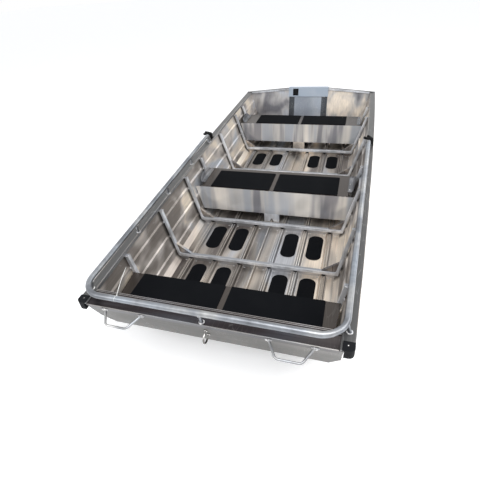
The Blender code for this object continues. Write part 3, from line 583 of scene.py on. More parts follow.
finishes = (
    ("bottom", floor_metal), ("keel", floor_metal), ("side_", side_metal), ("chine", chine_metal),
    ("bow_plate", bow_metal, 0.0008, 2), ("bow_deck", deck_metal), ("gunwale", gunwale_metal),
    ("transom_cap", gunwale_metal, 0.0008, 2), ("transom_plate", transom_metal),
    ("transom_panel", panel_metal), ("motor_pad", pad_plastic, 0.0020, 2),
    ("rib_", rib_finish, 0.0035, 3), ("bench_bow", bench_metal), ("bench_middle", bench_metal),
    ("bench_stern", bench_metal), ("bench_block_middle", rib_finish, 0.0015, 2),
    ("bench_block_stern", chine_metal, 0.0015, 2), ("rail", tube_finish), ("bow_handle", tube_finish),
    ("tow_eye", steel_finish), ("corner_cap", rubber, 0.0030, 3), ("rowlock", nylon),
)
dressed = []
for start, finish, *edge in finishes:
    for name in [name for name in nodes if name.startswith(start)]:
        node = nodes[name]
        node.data.materials.clear()
        node.data.materials.append(finish)
        if edge:
            node.modifiers.new("joined", "WELD").merge_threshold = 0.00002
            break_edges(node, *edge, 32)
            node.modifiers.new("even_faces", "WEIGHTED_NORMAL").keep_sharp = True
        dressed.append(name)
print("dressed:", len(dressed))

# %% [markdown]
# ## The boat's own lines
# Tubes, welds and pads have to follow the hull exactly, so the lines that it was drawn
# from are written down once more: its half width, the rake of bow and stern, and the
# curve of the bottom. With them a piece can be placed by a distance along the boat.
# The CAD bottom is bent up to the bow in nine flat steps, so a point over it is found on
# the same steps.

# %% Lines of the hull
length = 3.70
gunwale = 0.468
floor_top = 0.025
bow_rake = math.radians(22)
bow_lean = math.tan(bow_rake)
stern_lean = math.tan(math.radians(12))
skin_top, skin_inset = 0.4642, 0.048
chine_half, chine_height = 0.601, 0.065
rib_clearance = 0.0087
sweep_start, sweep_steps = -1.15, 9
sweep_run = sweep_start + length / 2 - 0.244 * bow_lean
sweep_rise = 0.202
sweep_radius = (sweep_run**2 + sweep_rise**2) / (2 * sweep_rise)
sweep_angle = math.asin(sweep_run / sweep_radius)
sweep_end = sweep_start - sweep_radius * sweep_angle


def half_beam(y):
    """Half width over the gunwales."""
    share = y / (length / 2)
    return 0.754 + 0.043 * share - 0.021 * share * share


def over_bottom(x, run, height):
    """A point over the bottom: run is Y on the flat, and follows the sweep past it."""
    if run >= sweep_start:
        return Vector((x, run, floor_top + height))
    steps = (sweep_start - run) / (sweep_radius * sweep_angle / sweep_steps)
    whole = min(math.floor(steps), sweep_steps - 1)
    ends = []
    for step in (whole, whole + 1):
        turn = sweep_angle * step / sweep_steps
        radius = sweep_radius - height
        ends.append(Vector((
            x, sweep_start - radius * math.sin(turn), floor_top + sweep_radius - radius * math.cos(turn)
        )))
    return ends[0].lerp(ends[1], steps - whole)


def side_skin(y, z):
    """Inner face of the side sheet: its chine climbs the sweep toward the bow."""
    low = chine_height
    if y < sweep_start:
        low = over_bottom(0, sweep_start - (sweep_start - y) * 1.04, 0.040).z
    top = half_beam(y) - skin_inset
    return top - (top - chine_half) / (skin_top - low) * (skin_top - z)


print("half beam at bow, middle, stern:", [round(half_beam(y), 3) for y in (-1.85, 0, 1.85)])
print("sweep ends at:", [round(v, 3) for v in over_bottom(0, sweep_end, 0)])

# %% [markdown]
# ## Making meshes
# A tube can be a curve with a round bevel, or rings of points skinned by hand. Rings
# are used here, because the radius can then change along the way: a weld bead is only a
# tube whose radius ripples, and a ball tip is a tube that swells and closes. A shape
# gathers such parts, and then becomes one piece of the boat.


# %% Mesh helpers
class Shape:
    """Points and faces that grow part by part and become one piece."""

    def __init__(self):
        self.points = []
        self.faces = []

    def rings(self, rows):
        """Skin rings of equal length and close both ends."""
        start, count = len(self.points), len(rows[0])
        for ring in rows:
            self.points.extend(ring)
        for a in range(start, len(self.points) - count, count):
            for k in range(count):
                after = (k + 1) % count
                self.faces.append((a + k, a + after, a + after + count, a + k + count))
        self.faces.append(tuple(range(start, start + count)))
        self.faces.append(tuple(range(len(self.points) - count, len(self.points))))

    def tube(self, route, radii, sides):
        """A tube along a route; radii is one number or one for each point."""
        route = [Vector(point) for point in route]
        if not isinstance(radii, (list, tuple)):
            radii = [radii] * len(route)
        aside = None
        rows = []
        for index, here in enumerate(route):
            forward = (route[min(index + 1, len(route) - 1)] - route[max(index - 1, 0)]).normalized()
            if aside is None:
                helper = Vector((0, 0, 1)) if abs(forward.z) < 0.9 else Vector((1, 0, 0))
                aside = forward.cross(helper).normalized()
            aside = (aside - forward * aside.dot(forward)).normalized()
            above = forward.cross(aside)
            turns = [2 * math.pi * k / sides for k in range(sides)]
            rows.append([here + radii[index] * (math.cos(t) * aside + math.sin(t) * above) for t in turns])
        self.rings(rows)

    def slab(self, outline, fore, aft):
        """A flat outline in X and Z, made solid from fore to aft along Y."""
        self.rings([[Vector((x, y, z)) for x, z in outline] for y in (fore, aft)])

    def piece(self, name, finish, slot=None, body="hull", smooth=40):
        """A mesh that rides on a body, with its edges smooth below an angle."""
        mesh = bpy.data.meshes.new(name)
        mesh.from_pydata([tuple(point) for point in self.points], [], self.faces)
        tidy = bmesh.new()
        tidy.from_mesh(mesh)
        bmesh.ops.recalc_face_normals(tidy, faces=tidy.faces)
        tidy.to_mesh(mesh)
        tidy.free()
        mesh.shade_smooth()
        mesh.set_sharp_from_angle(angle=math.radians(smooth))
        mesh.materials.append(finish)
        made = bpy.data.objects.new(name, mesh)
        scene.collection.objects.link(made)
        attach(made, body)
        print(name, "points:", len(self.points))
        return made


def arc_points(centre, radius, first, last, steps):
    """Points of an arc in a plane, as pairs."""
    turns = [first + (last - first) * k / steps for k in range(steps + 1)]
    return [(centre[0] + radius * math.cos(t), centre[1] + radius * math.sin(t)) for t in turns]


print("arc of three:", [(round(x, 2), round(y, 2)) for x, y in arc_points((0, 0), 1, 0, math.pi, 2)])

# %% [markdown]
# ## Weld beads
# Every joint of the boat is welded, and the beads are what make it look welded and not
# moulded. The puddles of a bead are modelled as a ripple in its radius, with a little
# chance in their size. All beads of one part of the boat share one mesh.

# %% Weld helpers
chance = random.Random(7)
ripple = 0.0035


def bead(shape, route, size):
    """A weld bead along a polyline: finely divided, rippled and tapered at its ends."""
    fine = []
    for a, b in zip(route, route[1:]):
        a, b = Vector(a), Vector(b)
        count = max(2, int((b - a).length / (ripple / 3)))
        fine += [a + (b - a) * k / count for k in range(count)]
    fine.append(Vector(route[-1]))
    radii = []
    travelled = 0.0
    for index, here in enumerate(fine):
        if index:
            travelled += (here - fine[index - 1]).length
        wave = abs(math.sin(math.pi * travelled / ripple))
        radii.append(size * (0.72 + 0.28 * wave + chance.uniform(-0.05, 0.05)))
    radii[0] *= 0.35
    radii[-1] *= 0.35
    shape.tube(fine, radii, 8)


def ring_bead(shape, centre, axis, radius, size):
    """A weld bead that runs round the foot of a tube."""
    axis = Vector(axis).normalized()
    helper = Vector((1, 0, 0)) if abs(axis.x) < 0.9 else Vector((0, 1, 0))
    one = axis.cross(helper).normalized()
    two = axis.cross(one)
    turns = [2 * math.pi * k / 28 for k in range(29)]
    bead(shape, [Vector(centre) + radius * (math.cos(t) * one + math.sin(t) * two) for t in turns], size)


print("puddles in 10 mm of bead:", round(0.010 / ripple, 1))

# %% [markdown]
# ## The tube rail
# The rail is one length of 30 mm tube, bent round the bow and turned down at its ends.
# In CAD it is three pieces with flat sides, which is enough to bump into. Seen close it
# has to be round, so one smooth tube with many sides stands for all three. It stands on
# short posts with a weld round each foot.

# %% Rail tube
rail_radius, end_bend, corner_bend = 0.0152, 0.045, 0.120
rail_level = gunwale + 0.073
rail_front = -length / 2 + 0.004
rail_end = 0.225
corner_y = rail_front + corner_bend
bead_top = gunwale + 0.0043


def rail_line(y):
    """Half width of the rail's centre line, which is straight along the sides."""
    fore = half_beam(-1.6) - 0.048
    aft = half_beam(rail_end) - 0.045
    return fore + (aft - fore) * (y + 1.6) / 1.825


inside = rail_line(corner_y) - corner_bend
end_arc = arc_points((rail_end - end_bend, rail_level - end_bend), end_bend, 0, math.pi / 2, 14)
straight = [rail_end - 0.05 + (corner_y - rail_end + 0.05) * k / 16 for k in range(1, 16)]
half_rail = [(rail_line(rail_end), rail_end, bead_top + 0.0005)]
half_rail += [(rail_line(y), y, z) for y, z in end_arc]
half_rail += [(rail_line(y), y, rail_level) for y in straight]
bow_arc = arc_points((inside, corner_y), corner_bend, 0, -math.pi / 2, 24)
half_rail += [(x, y, rail_level) for x, y in bow_arc]
rail_shape = Shape()
rail_shape.tube(half_rail + [(-x, y, z) for x, y, z in reversed(half_rail)], rail_radius, 40)
rail = rail_shape.piece("rail_tube", tube_finish, "tube_metal")
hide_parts("rail_bow", "rail_port", "rail_starboard")

# %% Rail posts and their welds
posts, rail_welds = Shape(), Shape()


def rail_post(foot, top):
    """A short post that widens at its foot, with a bead below and one under the tube."""
    foot, top = Vector(foot), Vector(top)
    stops = [foot + (top - foot) * share for share in (0, 0.06, 0.14, 0.3, 0.6, 0.95)]
    posts.tube(stops, [0.0105, 0.0100, 0.0092, 0.0088, 0.0088, 0.0092], 20)
    ring_bead(rail_welds, foot + Vector((0, 0, 0.0020)), (0, 0, 1), 0.0112, 0.0042)
    ring_bead(rail_welds, top - Vector((0, 0, rail_radius - 0.0015)), (0, 0, 1), 0.0092, 0.0034)


for sign in (-1, 1):
    for y in (-1.234, -0.748, -0.256):
        rail_post((sign * (half_beam(y) - 0.052), y, bead_top), (sign * rail_line(y), y, rail_level))
    corner_foot = (sign * (half_beam(-1.748) - 0.031), -1.748, gunwale + 0.0004)
    rail_post(corner_foot, (sign * (inside + 0.1154), -1.748, rail_level))
    end = (sign * rail_line(rail_end), rail_end, bead_top + 0.001)
    ring_bead(rail_welds, end, (0, 0, 1), rail_radius + 0.001, 0.0028)
rail_post((0, -length / 2 + 0.013, gunwale + 0.0004), (0, rail_front, rail_level))
posts.piece("rail_posts", tube_finish, "tube_metal")
rail_welds.piece("rail_welds", weld_finish, "tube_metal", smooth=60)

# %% [markdown]
# ## Edges of the deck, the transom and the motor pad
# A sheet that people lean on never ends in a raw edge: it is folded over, or a thin bar
# is welded along it. Slim rounds along the gunwales and the deck, and thicker ones along
# the transom, give these bright lines and cost little. The motor pad has a pocket, and a
# black plug closes its floor.

# %% Bright lines of the gunwales
edge_lines = Shape()
edge_runs = [-1.74 + (1.79 + 1.74) * k / 24 for k in range(25)]
for sign in (-1, 1):
    for inset, lift, size in ((0.0018, -0.0006, 0.0014), (0.0545, 0.0040, 0.0012)):
        edge_lines.tube([(sign * (half_beam(y) - inset), y, gunwale + lift) for y in edge_runs], size, 8)
# The lines take the lighter ridge line metal: a painted highlight along the gunwale edges.
edge_lines.piece("gunwale_lines", ridge_metal, "bright_sheet")

# %% Hems of the deck
hem_half = half_beam(-1.75) - 0.064
deck_back = -length / 2 + 0.088
hems, hem_strip = Shape(), Shape()
for back, size in ((-0.0075, 0.0013), (0.0035, 0.0016), (0.0120, 0.0018)):
    ends = [(sign * (hem_half - 0.001), deck_back + back, gunwale + 0.0030) for sign in (-1, 0, 1)]
    hems.tube(ends, size, 10)
front_hem = [(sign * (hem_half - 0.006), -length / 2 - 0.0017, gunwale - 0.0012) for sign in (-1, 0, 1)]
hems.tube(front_hem, 0.0022, 10)
hems.piece("deck_hems", hem_metal, "bright_sheet")
strip_section = [(-0.002, 0.0002), (0.012, 0.0002), (0.013, 0.0026), (-0.010, 0.0026)]
hem_strip.rings([
    [Vector((x, deck_back + back, gunwale + lift)) for back, lift in strip_section]
    for x in (-hem_half, hem_half)
])
hem_strip.piece("deck_hem_strip", deck_metal, "bright_sheet", smooth=30)


# %% Transom edge and pocket plug
def transom_at(z):
    """Back face of the transom at a height."""
    return length / 2 - (gunwale - z) * stern_lean


transom_edge, plug = Shape(), Shape()
for sign in (-1, 1):
    for drop in (0.0045, 0.0140):
        heights = [(x, gunwale + 0.045 * (0.776 - x) / 0.538 - drop) for x in (0.240, 0.480, 0.713)]
        transom_edge.tube([(sign * x, transom_at(z) - 0.0225, z) for x, z in heights], 0.0062, 16)
transom_edge.piece("transom_edge", rib_finish, "bright_sheet")
rim = gunwale + 0.0453
low_z, high_z = rim - 0.0792, rim - 0.0038
plug_section = ((low_z, 0.0116), (high_z, 0.0116), (high_z, 0.0030), (low_z, 0.0030))
plug.rings([
    [Vector((x, transom_at(z) - 0.0243 + deep, z)) for z, deep in plug_section] for x in (-0.1872, -0.1208)
])
plug.piece("pocket_plug", rubber, "black_rubber", smooth=30)

# %% [markdown]
# ## Carrying handles and towing eye
# Two handles of bent rod are welded to the bow flange, and a bent stainless eye takes a
# winch hook. Their routes are those of the CAD pieces, with more points in the bends.

# %% Handles
handle_level = gunwale - 0.024
handle_face = -length / 2 - 0.0036 + (gunwale - 0.003 - handle_level) * bow_lean
handle_reach, knee_radius = 0.082, 0.0273
bow_normal = Vector((0, -math.cos(bow_rake), -math.sin(bow_rake)))
handle_welds = Shape()
for side, sign in (("port", 1), ("starboard", -1)):
    middle = sign * 0.424
    knee_centre = (-0.055 + knee_radius / 2, handle_reach - knee_radius)
    knee = arc_points(knee_centre, knee_radius, math.pi * 0.88, math.pi / 2, 12)
    half = [
        (middle + x, handle_face - reach, handle_level - 0.014 * reach / handle_reach)
        for x, reach in [(-0.104, -0.004)] + knee
    ]
    route = half + [(2 * middle - x, y, z) for x, y, z in reversed(half)]
    handle_shape = Shape()
    handle_shape.tube(route, 0.006, 24)
    handle = handle_shape.piece("handle_rod_" + side, rod_finish, "tube_metal")
    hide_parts("bow_handle_" + side)
    for end in (route[0], route[-1]):
        spot = Vector(end) + Vector((0, -0.008, 0.001))
        ring_bead(handle_welds, spot, bow_normal, 0.0085, 0.0062)
        across = [spot + Vector((step, 0.002, 0.002)) for step in (-0.018, 0.0, 0.018)]
        bead(handle_welds, across, 0.0060)
handle_welds.piece("handle_welds", weld_finish, "tube_metal", smooth=60)

# %% Towing eye
eye_drop, eye_half = 0.112, 0.030
eye_along = Vector((0, math.sin(bow_rake), -math.cos(bow_rake)))
eye_start = Vector((0, -length / 2 + eye_drop * bow_lean, gunwale - eye_drop)) + bow_normal * 0.0003
eye_arc = arc_points((0.025, 0), eye_half, -math.pi / 2, math.pi / 2, 28)
eye_plane = [(0, -eye_half)] + eye_arc + [(0, eye_half)]
eye_route = [eye_start + bow_normal * reach + eye_along * down for reach, down in eye_plane]
eye_shape = Shape()
eye_shape.tube(eye_route, 0.005, 24)
for end in (eye_route[0], eye_route[-1]):
    collar = [end + bow_normal * reach for reach in (0.0, 0.0010, 0.0028, 0.0040)]
    eye_shape.tube(collar, [0.0088, 0.0094, 0.0094, 0.0080], 24)
eye = eye_shape.piece("towing_eye", steel_finish, "stainless")
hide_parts("tow_eye")

# %% [markdown]
# ## Foam pads
# The pads are cut from sheets of closed-cell foam and glued down. They are thin and lie
# on flat metal, so they hardly crown, but a cut edge of foam is never sharp: it rolls
# over. Each pad is built in rings, from the outline at the foot, up over a round edge,
# to its level top.


# %% Pad maker
def foam_pad(name, outline, height, roll, place, node):
    """A pad over an outline given as pairs; place turns a pair and a height to a point."""
    middle = Vector((sum(x for x, y in outline), sum(y for x, y in outline))) / len(outline)
    rows = []
    for inset, level in (
        (0.0, 0.0), (0.0, height - roll), (roll * 0.3, height - roll * 0.3), (roll, height),
        (roll * 2, height), (roll * 3, height),
    ):
        ring = []
        for index, (x, y) in enumerate(outline):
            before = Vector(outline[index - 1])
            after = Vector(outline[(index + 1) % len(outline)])
            run = (after - before).normalized()
            inward = Vector((-run.y, run.x))
            if inward.dot(middle - Vector((x, y))) < 0:
                inward = -inward
            ring.append(place(x + inward.x * inset, y + inward.y * inset, level))
        rows.append(ring)
    pad_shape = Shape()
    pad_shape.rings(rows)
    pad = pad_shape.piece(name, foam, "pad_foam", smooth=50)
    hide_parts(node)
    return pad


def rounded(low, high, radius):
    """Outline of a rectangle with rounded corners."""
    right, left = high.x - radius, low.x + radius
    far, near = high.y - radius, low.y + radius
    outline = []
    for quarter, centre in enumerate(((right, far), (left, far), (left, near), (right, near))):
        start = quarter * math.pi / 2
        outline += arc_points(centre, radius, start, start + math.pi / 2, 6)
    return outline


print("points of a pad's outline:", len(rounded(Vector((0, 0)), Vector((1, 1)), 0.1)))

# %% Bench pads
bench_pads = []
for bench in ("bow", "middle", "stern"):
    for side in ("port", "starboard"):
        node = "bench_pad_" + bench + "_" + side
        low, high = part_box(node)
        bench_pads.append(foam_pad(
            "foam_" + bench + "_" + side, rounded(low, high, 0.007), high.z - low.z - 0.0004, 0.0022,
            lambda x, y, level, foot=low.z: Vector((x, y, foot + level)), node,
        ))
print("bench pads:", len(bench_pads))

# %% [markdown]
# The floor pads lie between the ridges, and the front row bends up with the bottom of
# the bow. Their straight sides are divided finely enough to follow its steps.

# %% Floor pads
pad_half, pad_corner, pad_length = 0.056, 0.049, 0.290
floor_pads = []
for row, rib in (("a", 2), ("b", 3), ("c", 6)):
    far = rib_at[rib] - 0.042
    near = far - pad_length
    for column, lane in enumerate((-1.5, -0.5, 0.5, 1.5)):
        middle = math.copysign(ridge_first, lane) + lane * ridge_step
        outline = []
        for sign, end in ((1, far - pad_corner), (-1, near + pad_corner)):
            start = 0 if sign > 0 else math.pi
            for side in (sign, -sign):
                centre = (middle + side * (pad_half - pad_corner), end)
                outline += arc_points(centre, pad_corner, start, start + math.pi / 2, 10)
                start += math.pi / 2
            run = pad_length - 2 * pad_corner
            outline += [(middle - sign * pad_half, end - sign * run * k / 12) for k in range(1, 12)]
        floor_pads.append(foam_pad(
            "foam_floor_%s%d" % (row, column + 1), outline, 0.0030, 0.0012,
            lambda x, y, level: over_bottom(x, y, 0.0004 + level), "floor_pad_%s%d" % (row, column + 1),
        ))
print("floor pads:", len(floor_pads))

# %% [markdown]
# ## Ridges of the floor
# Each ridge of the bottom carries two slim raised lines, rolled into the sheet with it,
# and a fine crease runs along both of its feet. The middle ridge carries one line. They
# catch the light as bright threads all along the floor, and their finish is lighter than the
# floor's: a painted highlight. They could be painted on by the material, yet as low
# half-round strips they cast their own shadow.

# %% Lines along the ridges
flat_runs = [1.70 + (sweep_start - 1.70) * k / 12 for k in range(13)]
line_runs = flat_runs + [sweep_start + (sweep_end + 0.01 - sweep_start) * k / 18 for k in range(1, 19)]
line_rows = [(0, 0.012, 0.0022, 8)]
for lane in lanes:
    line_rows += [(lane + offset, 0.018, 0.0026, 8) for offset in (-0.0078, 0.0078)]
    line_rows += [(lane + offset, 0.0, 0.0018, 6) for offset in (-0.0262, 0.0262)]
ridge_lines = Shape()
for x, height, size, sides in line_rows:
    ridge_lines.tube([over_bottom(x, run, height) for run in line_runs], size, sides)
ridge_lines.piece("ridge_lines", ridge_metal, "hull_sheet")

# %% [markdown]
# ## Ribs
# A rib is a bar of tube across the bottom and two legs up the sides, in one bent piece.
# The bar lies on the floor's ridges, with a thin notched web under it, and a folded
# gusset plate closes each corner. The CAD rib is level with the tube in all these places.
# Each is drawn again here from the same lines: a round-edged outline for the tube, and a
# thin web and a thin triangle that are set back behind its face. Small black blocks fill
# the notches between the bar and the ridges: they stand for the shade inside the hollow
# tube, a painted shade. Rib 1, in the bow, keeps its CAD shape.

# %% Rib tubes and gussets
leg_depth, bar_height, rib_half = 0.024, 0.060, 0.013
gusset_rise, gusset_run = 0.085, 0.095
bend_radius = 0.012
foot = floor_top + 0.0003
bar_low, bar_top, leg_top = foot + 0.0295, foot + bar_height, gunwale - 0.0143


def rib_leg(y, z, inward=0.0):
    """Half width of a leg's outer face, or of a line inward of it."""
    return side_skin(y, z) - rib_clearance - inward


gussets, webs, notch_shades = Shape(), Shape(), Shape()
for number, y in list(rib_at.items())[1:]:
    fore, aft = y - rib_half, y + rib_half
    web = [(0.011, foot + 0.028), (0.031, foot)]
    for x in lanes[3:]:
        web += [(x - 0.031, foot), (x - 0.011, foot + 0.028), (x + 0.011, foot + 0.028), (x + 0.031, foot)]
    web += [(0.565 - rib_clearance, foot), (rib_leg(fore, bar_low) - 0.006, bar_low + 0.001)]
    webs.slab(web + [(-x, z) for x, z in reversed(web)], y - 0.002, y + 0.002)
    # Black blocks in the notches over the ridges: painted shade inside the hollow tube.
    for lane in lanes:
        notch_shades.slab([
            (lane - 0.0125, foot + 0.0185), (lane + 0.0125, foot + 0.0185),
            (lane + 0.0125, bar_low + 0.0005), (lane - 0.0125, bar_low + 0.0005),
        ], fore + 0.0012, aft - 0.0012)
    half = [(rib_leg(fore, bar_low), bar_low)]
    half += [(rib_leg(fore, leg_top), leg_top), (rib_leg(fore, leg_top, leg_depth), leg_top)]
    for share in (0.0, 0.08, 0.25, 0.5, 0.75, 0.92, 1.0):
        bend = math.pi / 2 * share
        lift = bar_top + bend_radius - bend_radius * math.sin(bend)
        x = rib_leg(fore, lift, leg_depth) - bend_radius + bend_radius * math.cos(bend)
        half.append((x, lift))
    rib_shape = Shape()
    rib_shape.slab(half + [(-x, z) for x, z in reversed(half)], fore, aft)
    tube_rib = rib_shape.piece("rib_tube_%d" % number, rib_finish, "tube_metal", smooth=30)
    break_edges(tube_rib, 0.0070, 5, 40).use_clamp_overlap = False
    tube_rib.modifiers.new("even_faces", "WEIGHTED_NORMAL").keep_sharp = True
    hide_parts("rib_%d" % number)
    corner, high = rib_leg(fore, bar_top, leg_depth), bar_top + gusset_rise
    top = (rib_leg(fore, high, leg_depth - 0.001), high)
    low = (corner - gusset_run, bar_top - 0.001)
    plate = [top, low, (corner + 0.002, bar_top - 0.001)]
    fold = [top, low, (low[0] + 0.004, low[1]), (top[0], top[1] - 0.004)]
    for sign in (-1, 1):
        gussets.slab([(sign * x, z) for x, z in plate], fore + 0.0075, fore + 0.0095)
        gussets.slab([(sign * x, z) for x, z in fold], fore + 0.0035, aft - 0.002)
break_edges(gussets.piece("rib_gussets", gusset_metal, "tube_metal", smooth=30), 0.0006, 2, 30)
webs.piece("rib_webs", floor_metal, "hull_sheet", smooth=30)
notch_shades.piece("notch_shade_blocks", rubber, "black_rubber", smooth=30)

# %% [markdown]
# ## Welds of the ribs
# A rib is stitched to the hull with short beads: at the head of each leg, where a leg
# crosses the ridges of the side, and along the foot of the bar between the floor's
# ridges. The photograph shows them as small white spots in dark corners.

# %% Rib welds
rib_welds = Shape()
side_ridges = (0.236, 0.360)
head_z = 0.4515
for number, y in rib_at.items():
    fore, aft = y - 0.0125, y + 0.0125
    for sign in (-1, 1):
        for z in side_ridges:
            x = sign * (side_skin(y, z) - 0.0095)
            for edge in (fore - 0.001, aft + 0.001):
                bead(rib_welds, [(x, edge, z - 0.007), (x, edge, z + 0.007)], 0.0048)
        head = side_skin(y, 0.452) - rib_clearance
        outer, inner, back = sign * head, sign * (head - 0.022), sign * (head - 0.0245)
        bead(rib_welds, [(inner, fore - 0.0012, head_z), (outer, fore - 0.0012, head_z)], 0.0030)
        bead(rib_welds, [(back, fore, head_z), (back, aft, head_z)], 0.0030)
    if number == 1:
        continue
    low_z = over_bottom(0, y, 0).z + 0.0006
    for lane in lanes:
        for near, far in ((-0.046, -0.032), (0.032, 0.046)):
            for edge in (fore - 0.0008, aft + 0.0008):
                bead(rib_welds, [(lane + near, edge, low_z), (lane + far, edge, low_z)], 0.0030)
rib_welds.piece("rib_welds", weld_finish, "tube_metal", smooth=60)

# %% [markdown]
# ## Brackets at the bench ends
# An angle bar along each end of the middle and the stern bench carries it on the ribs.
# It is a strip with one bend, made here as a lofted section with rounded corners, and
# three bolt heads hold its lower leaf.

# %% Bench brackets
brackets, bolts = Shape(), Shape()
bracket_section = [
    (-0.034, 0.0004), (-0.034, 0.0030), (-0.0075, 0.0030), (-0.0042, 0.0044), (-0.0030, 0.0080),
    (-0.0030, 0.048), (-0.0020, 0.050), (-0.0008, 0.050), (0.0, 0.048), (0.0, 0.0075),
    (-0.0012, 0.0035), (-0.0040, 0.0012), (-0.0080, 0.0004),
]


def bolt(centre, axis, radius):
    """A low domed bolt or rivet head on a thin washer."""
    centre, axis = Vector(centre), Vector(axis).normalized()
    stops = (0.0, 0.12, 0.16, 0.45, 0.62, 0.70)
    sizes = (1.35, 1.35, 1.0, 0.92, 0.6, 0.15)
    bolts.tube([centre + axis * radius * stop for stop in stops], [radius * size for size in sizes], 16)


def bracket_ring(sign, top, y, dome):
    """The section at one place; dome is how much of its upright leaf stands."""
    x = side_skin(y, top) - rib_clearance - 0.030
    lean = (side_skin(y, 0.42) - side_skin(y, 0.32)) / 0.1
    return [
        Vector((sign * (x + dx + lean * dz * dome), y, top + (dz if dz < 0.01 else dz * dome)))
        for dx, dz in bracket_section
    ]


for top, front, back in ((0.318, -0.270, -0.030), (0.330, 1.150, 1.380)):
    for sign in (-1, 1):
        brackets.rings([
            bracket_ring(
                sign, top, front + (back - front) * k / 12, 0.25 + 0.75 * math.sin(math.pi * k / 12) ** 0.6
            ) for k in range(13)
        ])
        for share in (0.15, 0.5, 0.85):
            y = front + (back - front) * share
            bolt((sign * (side_skin(y, top) - rib_clearance - 0.050), y, top + 0.0030), (0, 0, 1), 0.0048)
brackets.piece("bench_brackets", bracket_metal, "bright_sheet")

# %% [markdown]
# ## Rowlocks
# A rowlock is a nylon fork on a pin, and each tine ends in a ball that keeps the oar in.
# It is skinned as one bent tube whose radius swells into the balls, with a stem and a
# collar that sit on the socket. Both forks ride on their own bodies, so that they swivel.

# %% Rowlock forks
rowlock_y = 0.318
rowlock_x = half_beam(rowlock_y) - 0.027
arm_rise = math.radians(3)
arm_radius, ball_radius, ball_neck = 0.0102, 0.0122, 0.0100
collar_profile = [
    (-0.030, 0.0060), (-0.0004, 0.0060), (0.0003, 0.0180), (0.0012, 0.0192), (0.0085, 0.0192),
    (0.0130, 0.0190), (0.0185, 0.0168), (0.0220, 0.0085),
]


def ball_end(tip, outward):
    """Stops and radii of a tube that ends in a ball; outward points past the tip."""
    meet = math.asin(ball_neck / ball_radius)
    turns = [0.12 + (math.pi - meet - 0.12) * k / 8 for k in range(9)]
    stops = [tip + outward * ball_radius * math.cos(turn) for turn in turns]
    return stops, [ball_radius * math.sin(turn) for turn in turns]


for side, sign, turn in (("port", 1, math.radians(-40)), ("starboard", -1, 0.0)):
    seat = Vector((sign * rowlock_x, rowlock_y, gunwale + 0.0363))
    spin = Matrix.Rotation(turn, 3, "Z")

    def fork_point(reach, aside):
        flat = Vector((-reach * math.cos(arm_rise), -aside, 0.0104 + reach * math.sin(arm_rise)))
        return seat + spin @ flat

    bend = arc_points((0.032, 0), 0.020, math.pi / 2, 1.5 * math.pi, 24)
    line = [fork_point(reach, aside) for reach, aside in bend]
    tip_one, tip_two = fork_point(0.0490, 0.0210), fork_point(0.0490, -0.0210)
    stops_one, sizes_one = ball_end(tip_one, (tip_one - line[0]).normalized())
    stops_two, sizes_two = ball_end(tip_two, (tip_two - line[-1]).normalized())
    sizes = sizes_one + [arm_radius] * len(line) + sizes_two[::-1]
    fork_shape = Shape()
    fork_shape.tube(stops_one + line + stops_two[::-1], sizes, 20)
    stem = [fork_point(reach, 0) for reach in (-0.010, 0.002, 0.012, 0.020)]
    fork_shape.tube(stem, [0.0125, 0.0150, 0.0145, 0.0095], 20)
    stack = [seat + Vector((0, 0, z)) for z, r in collar_profile]
    fork_shape.tube(stack, [r for z, r in collar_profile], 28)
    fork = fork_shape.piece("rowlock_fork_" + side, nylon, "black_nylon", "rowlock_" + side, smooth=50)
    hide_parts("rowlock_" + side)

# %% [markdown]
# ## Screws and rivets
# Four screws hold the socket of each rowlock, and a screw and a rivet hold each corner
# cap. They have the domed head of the bracket's bolts in other sizes, so they come from
# the same function and share its mesh.

# %% Screws, rivets and bolts
for sign in (-1, 1):
    for y in (-0.0285, 0.0285):
        for dx in (-0.011, 0.011):
            bolt((sign * rowlock_x + dx, rowlock_y + y, gunwale + 0.0063), (0, 0, 1), 0.0034)
    bolt((sign * (half_beam(-1.82) - 0.030), -1.822, gunwale + 0.0050), (0, 0, 1), 0.0026)
    bolt((sign * (half_beam(-1.83) + 0.0015), -1.815, gunwale - 0.022), (sign, 0, 0), 0.0030)
bolts.piece("bolts", steel_finish, "stainless", smooth=50)

# %% [markdown]
# ## A cable tie
# A nylon tie has been left round the rail near the bow, with its long tail pointing
# aft. The strap is a flat tube that is wound once round the rail, and the head is a
# small block with broken edges.

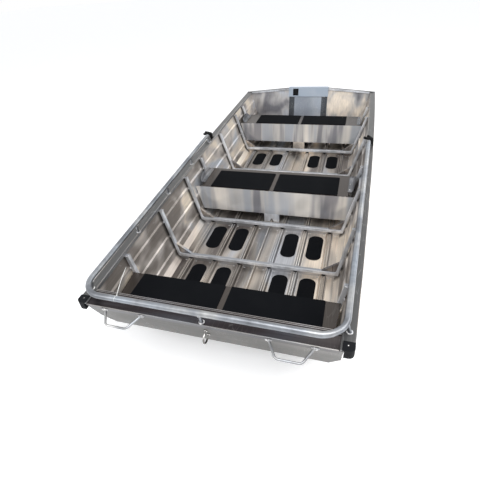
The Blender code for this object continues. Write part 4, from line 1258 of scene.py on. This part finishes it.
# %% Cable tie
tie_x = -0.432
loop = [k / 32 for k in range(33)]
strap = [(
    tie_x - 0.010 * share, rail_front + (rail_radius + 0.0003) * math.cos(2 * math.pi * share),
    rail_level - 0.0001 + (rail_radius - 0.0002) * math.sin(2 * math.pi * share),
) for share in loop]
strap_sizes = [0.0007 + 0.0007 * abs(math.cos(math.pi * share)) for share in loop]
tail = [(
    tie_x - 0.012 - 0.052 * share, rail_front + 0.020 + 0.190 * share,
    rail_level - 0.002 + 0.016 * math.sin(math.pi * 0.62 * share),
) for share in [k / 14 for k in range(15)]]
head = [(tie_x - 0.009, rail_front + 0.0195, rail_level + lift) for lift in (-0.006, -0.004, 0.002, 0.004)]
tie = Shape()
tie.tube(strap, strap_sizes, 8)
tie.tube(tail, [0.0018] * 10 + [0.0017, 0.0016, 0.0015, 0.0013, 0.0009], 8)
tie.tube(head, [0.0024, 0.0036, 0.0036, 0.0024], 8)
tie.piece("cable_tie", tie_plastic)

# %% [markdown]
# ## The floor of the studio
# A wide pale sheet under the boat catches its soft shadow and joins the white world
# without a line. The lamps light it like any pale sheet, and for the camera and mirrors
# it also glows a little, so that it comes up to white away from the shadow.

# %% Studio floor
reach = 30.0
floor_mesh = bpy.data.meshes.new("studio_floor")
floor_mesh.from_pydata(
    [(-reach, -reach, 0), (reach, -reach, 0), (reach, reach, 0), (-reach, reach, 0)], [], [(0, 1, 2, 3)]
)
studio_floor = bpy.data.objects.new("studio_floor", floor_mesh)
studio_floor.location.z = -0.0005
scene.collection.objects.link(studio_floor)
pale, pale_tree, pale_shader = new_material("pale_floor")
fill(
    pale_tree, pale_shader, Base_Color=(0.86, 0.86, 0.86, 1), Roughness=0.9, Emission_Color=(1, 1, 1, 1),
    Emission_Strength=maths(pale_tree, "MULTIPLY", seen_rays(pale_tree), 0.36),
)
floor_mesh.materials.append(pale)
studio_floor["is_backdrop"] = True
print("floor:", studio_floor.name, "half width:", reach)

# %% Sizes and finish
low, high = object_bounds()
print("visual size:", [round(b - a, 3) for a, b in zip(low, high)])
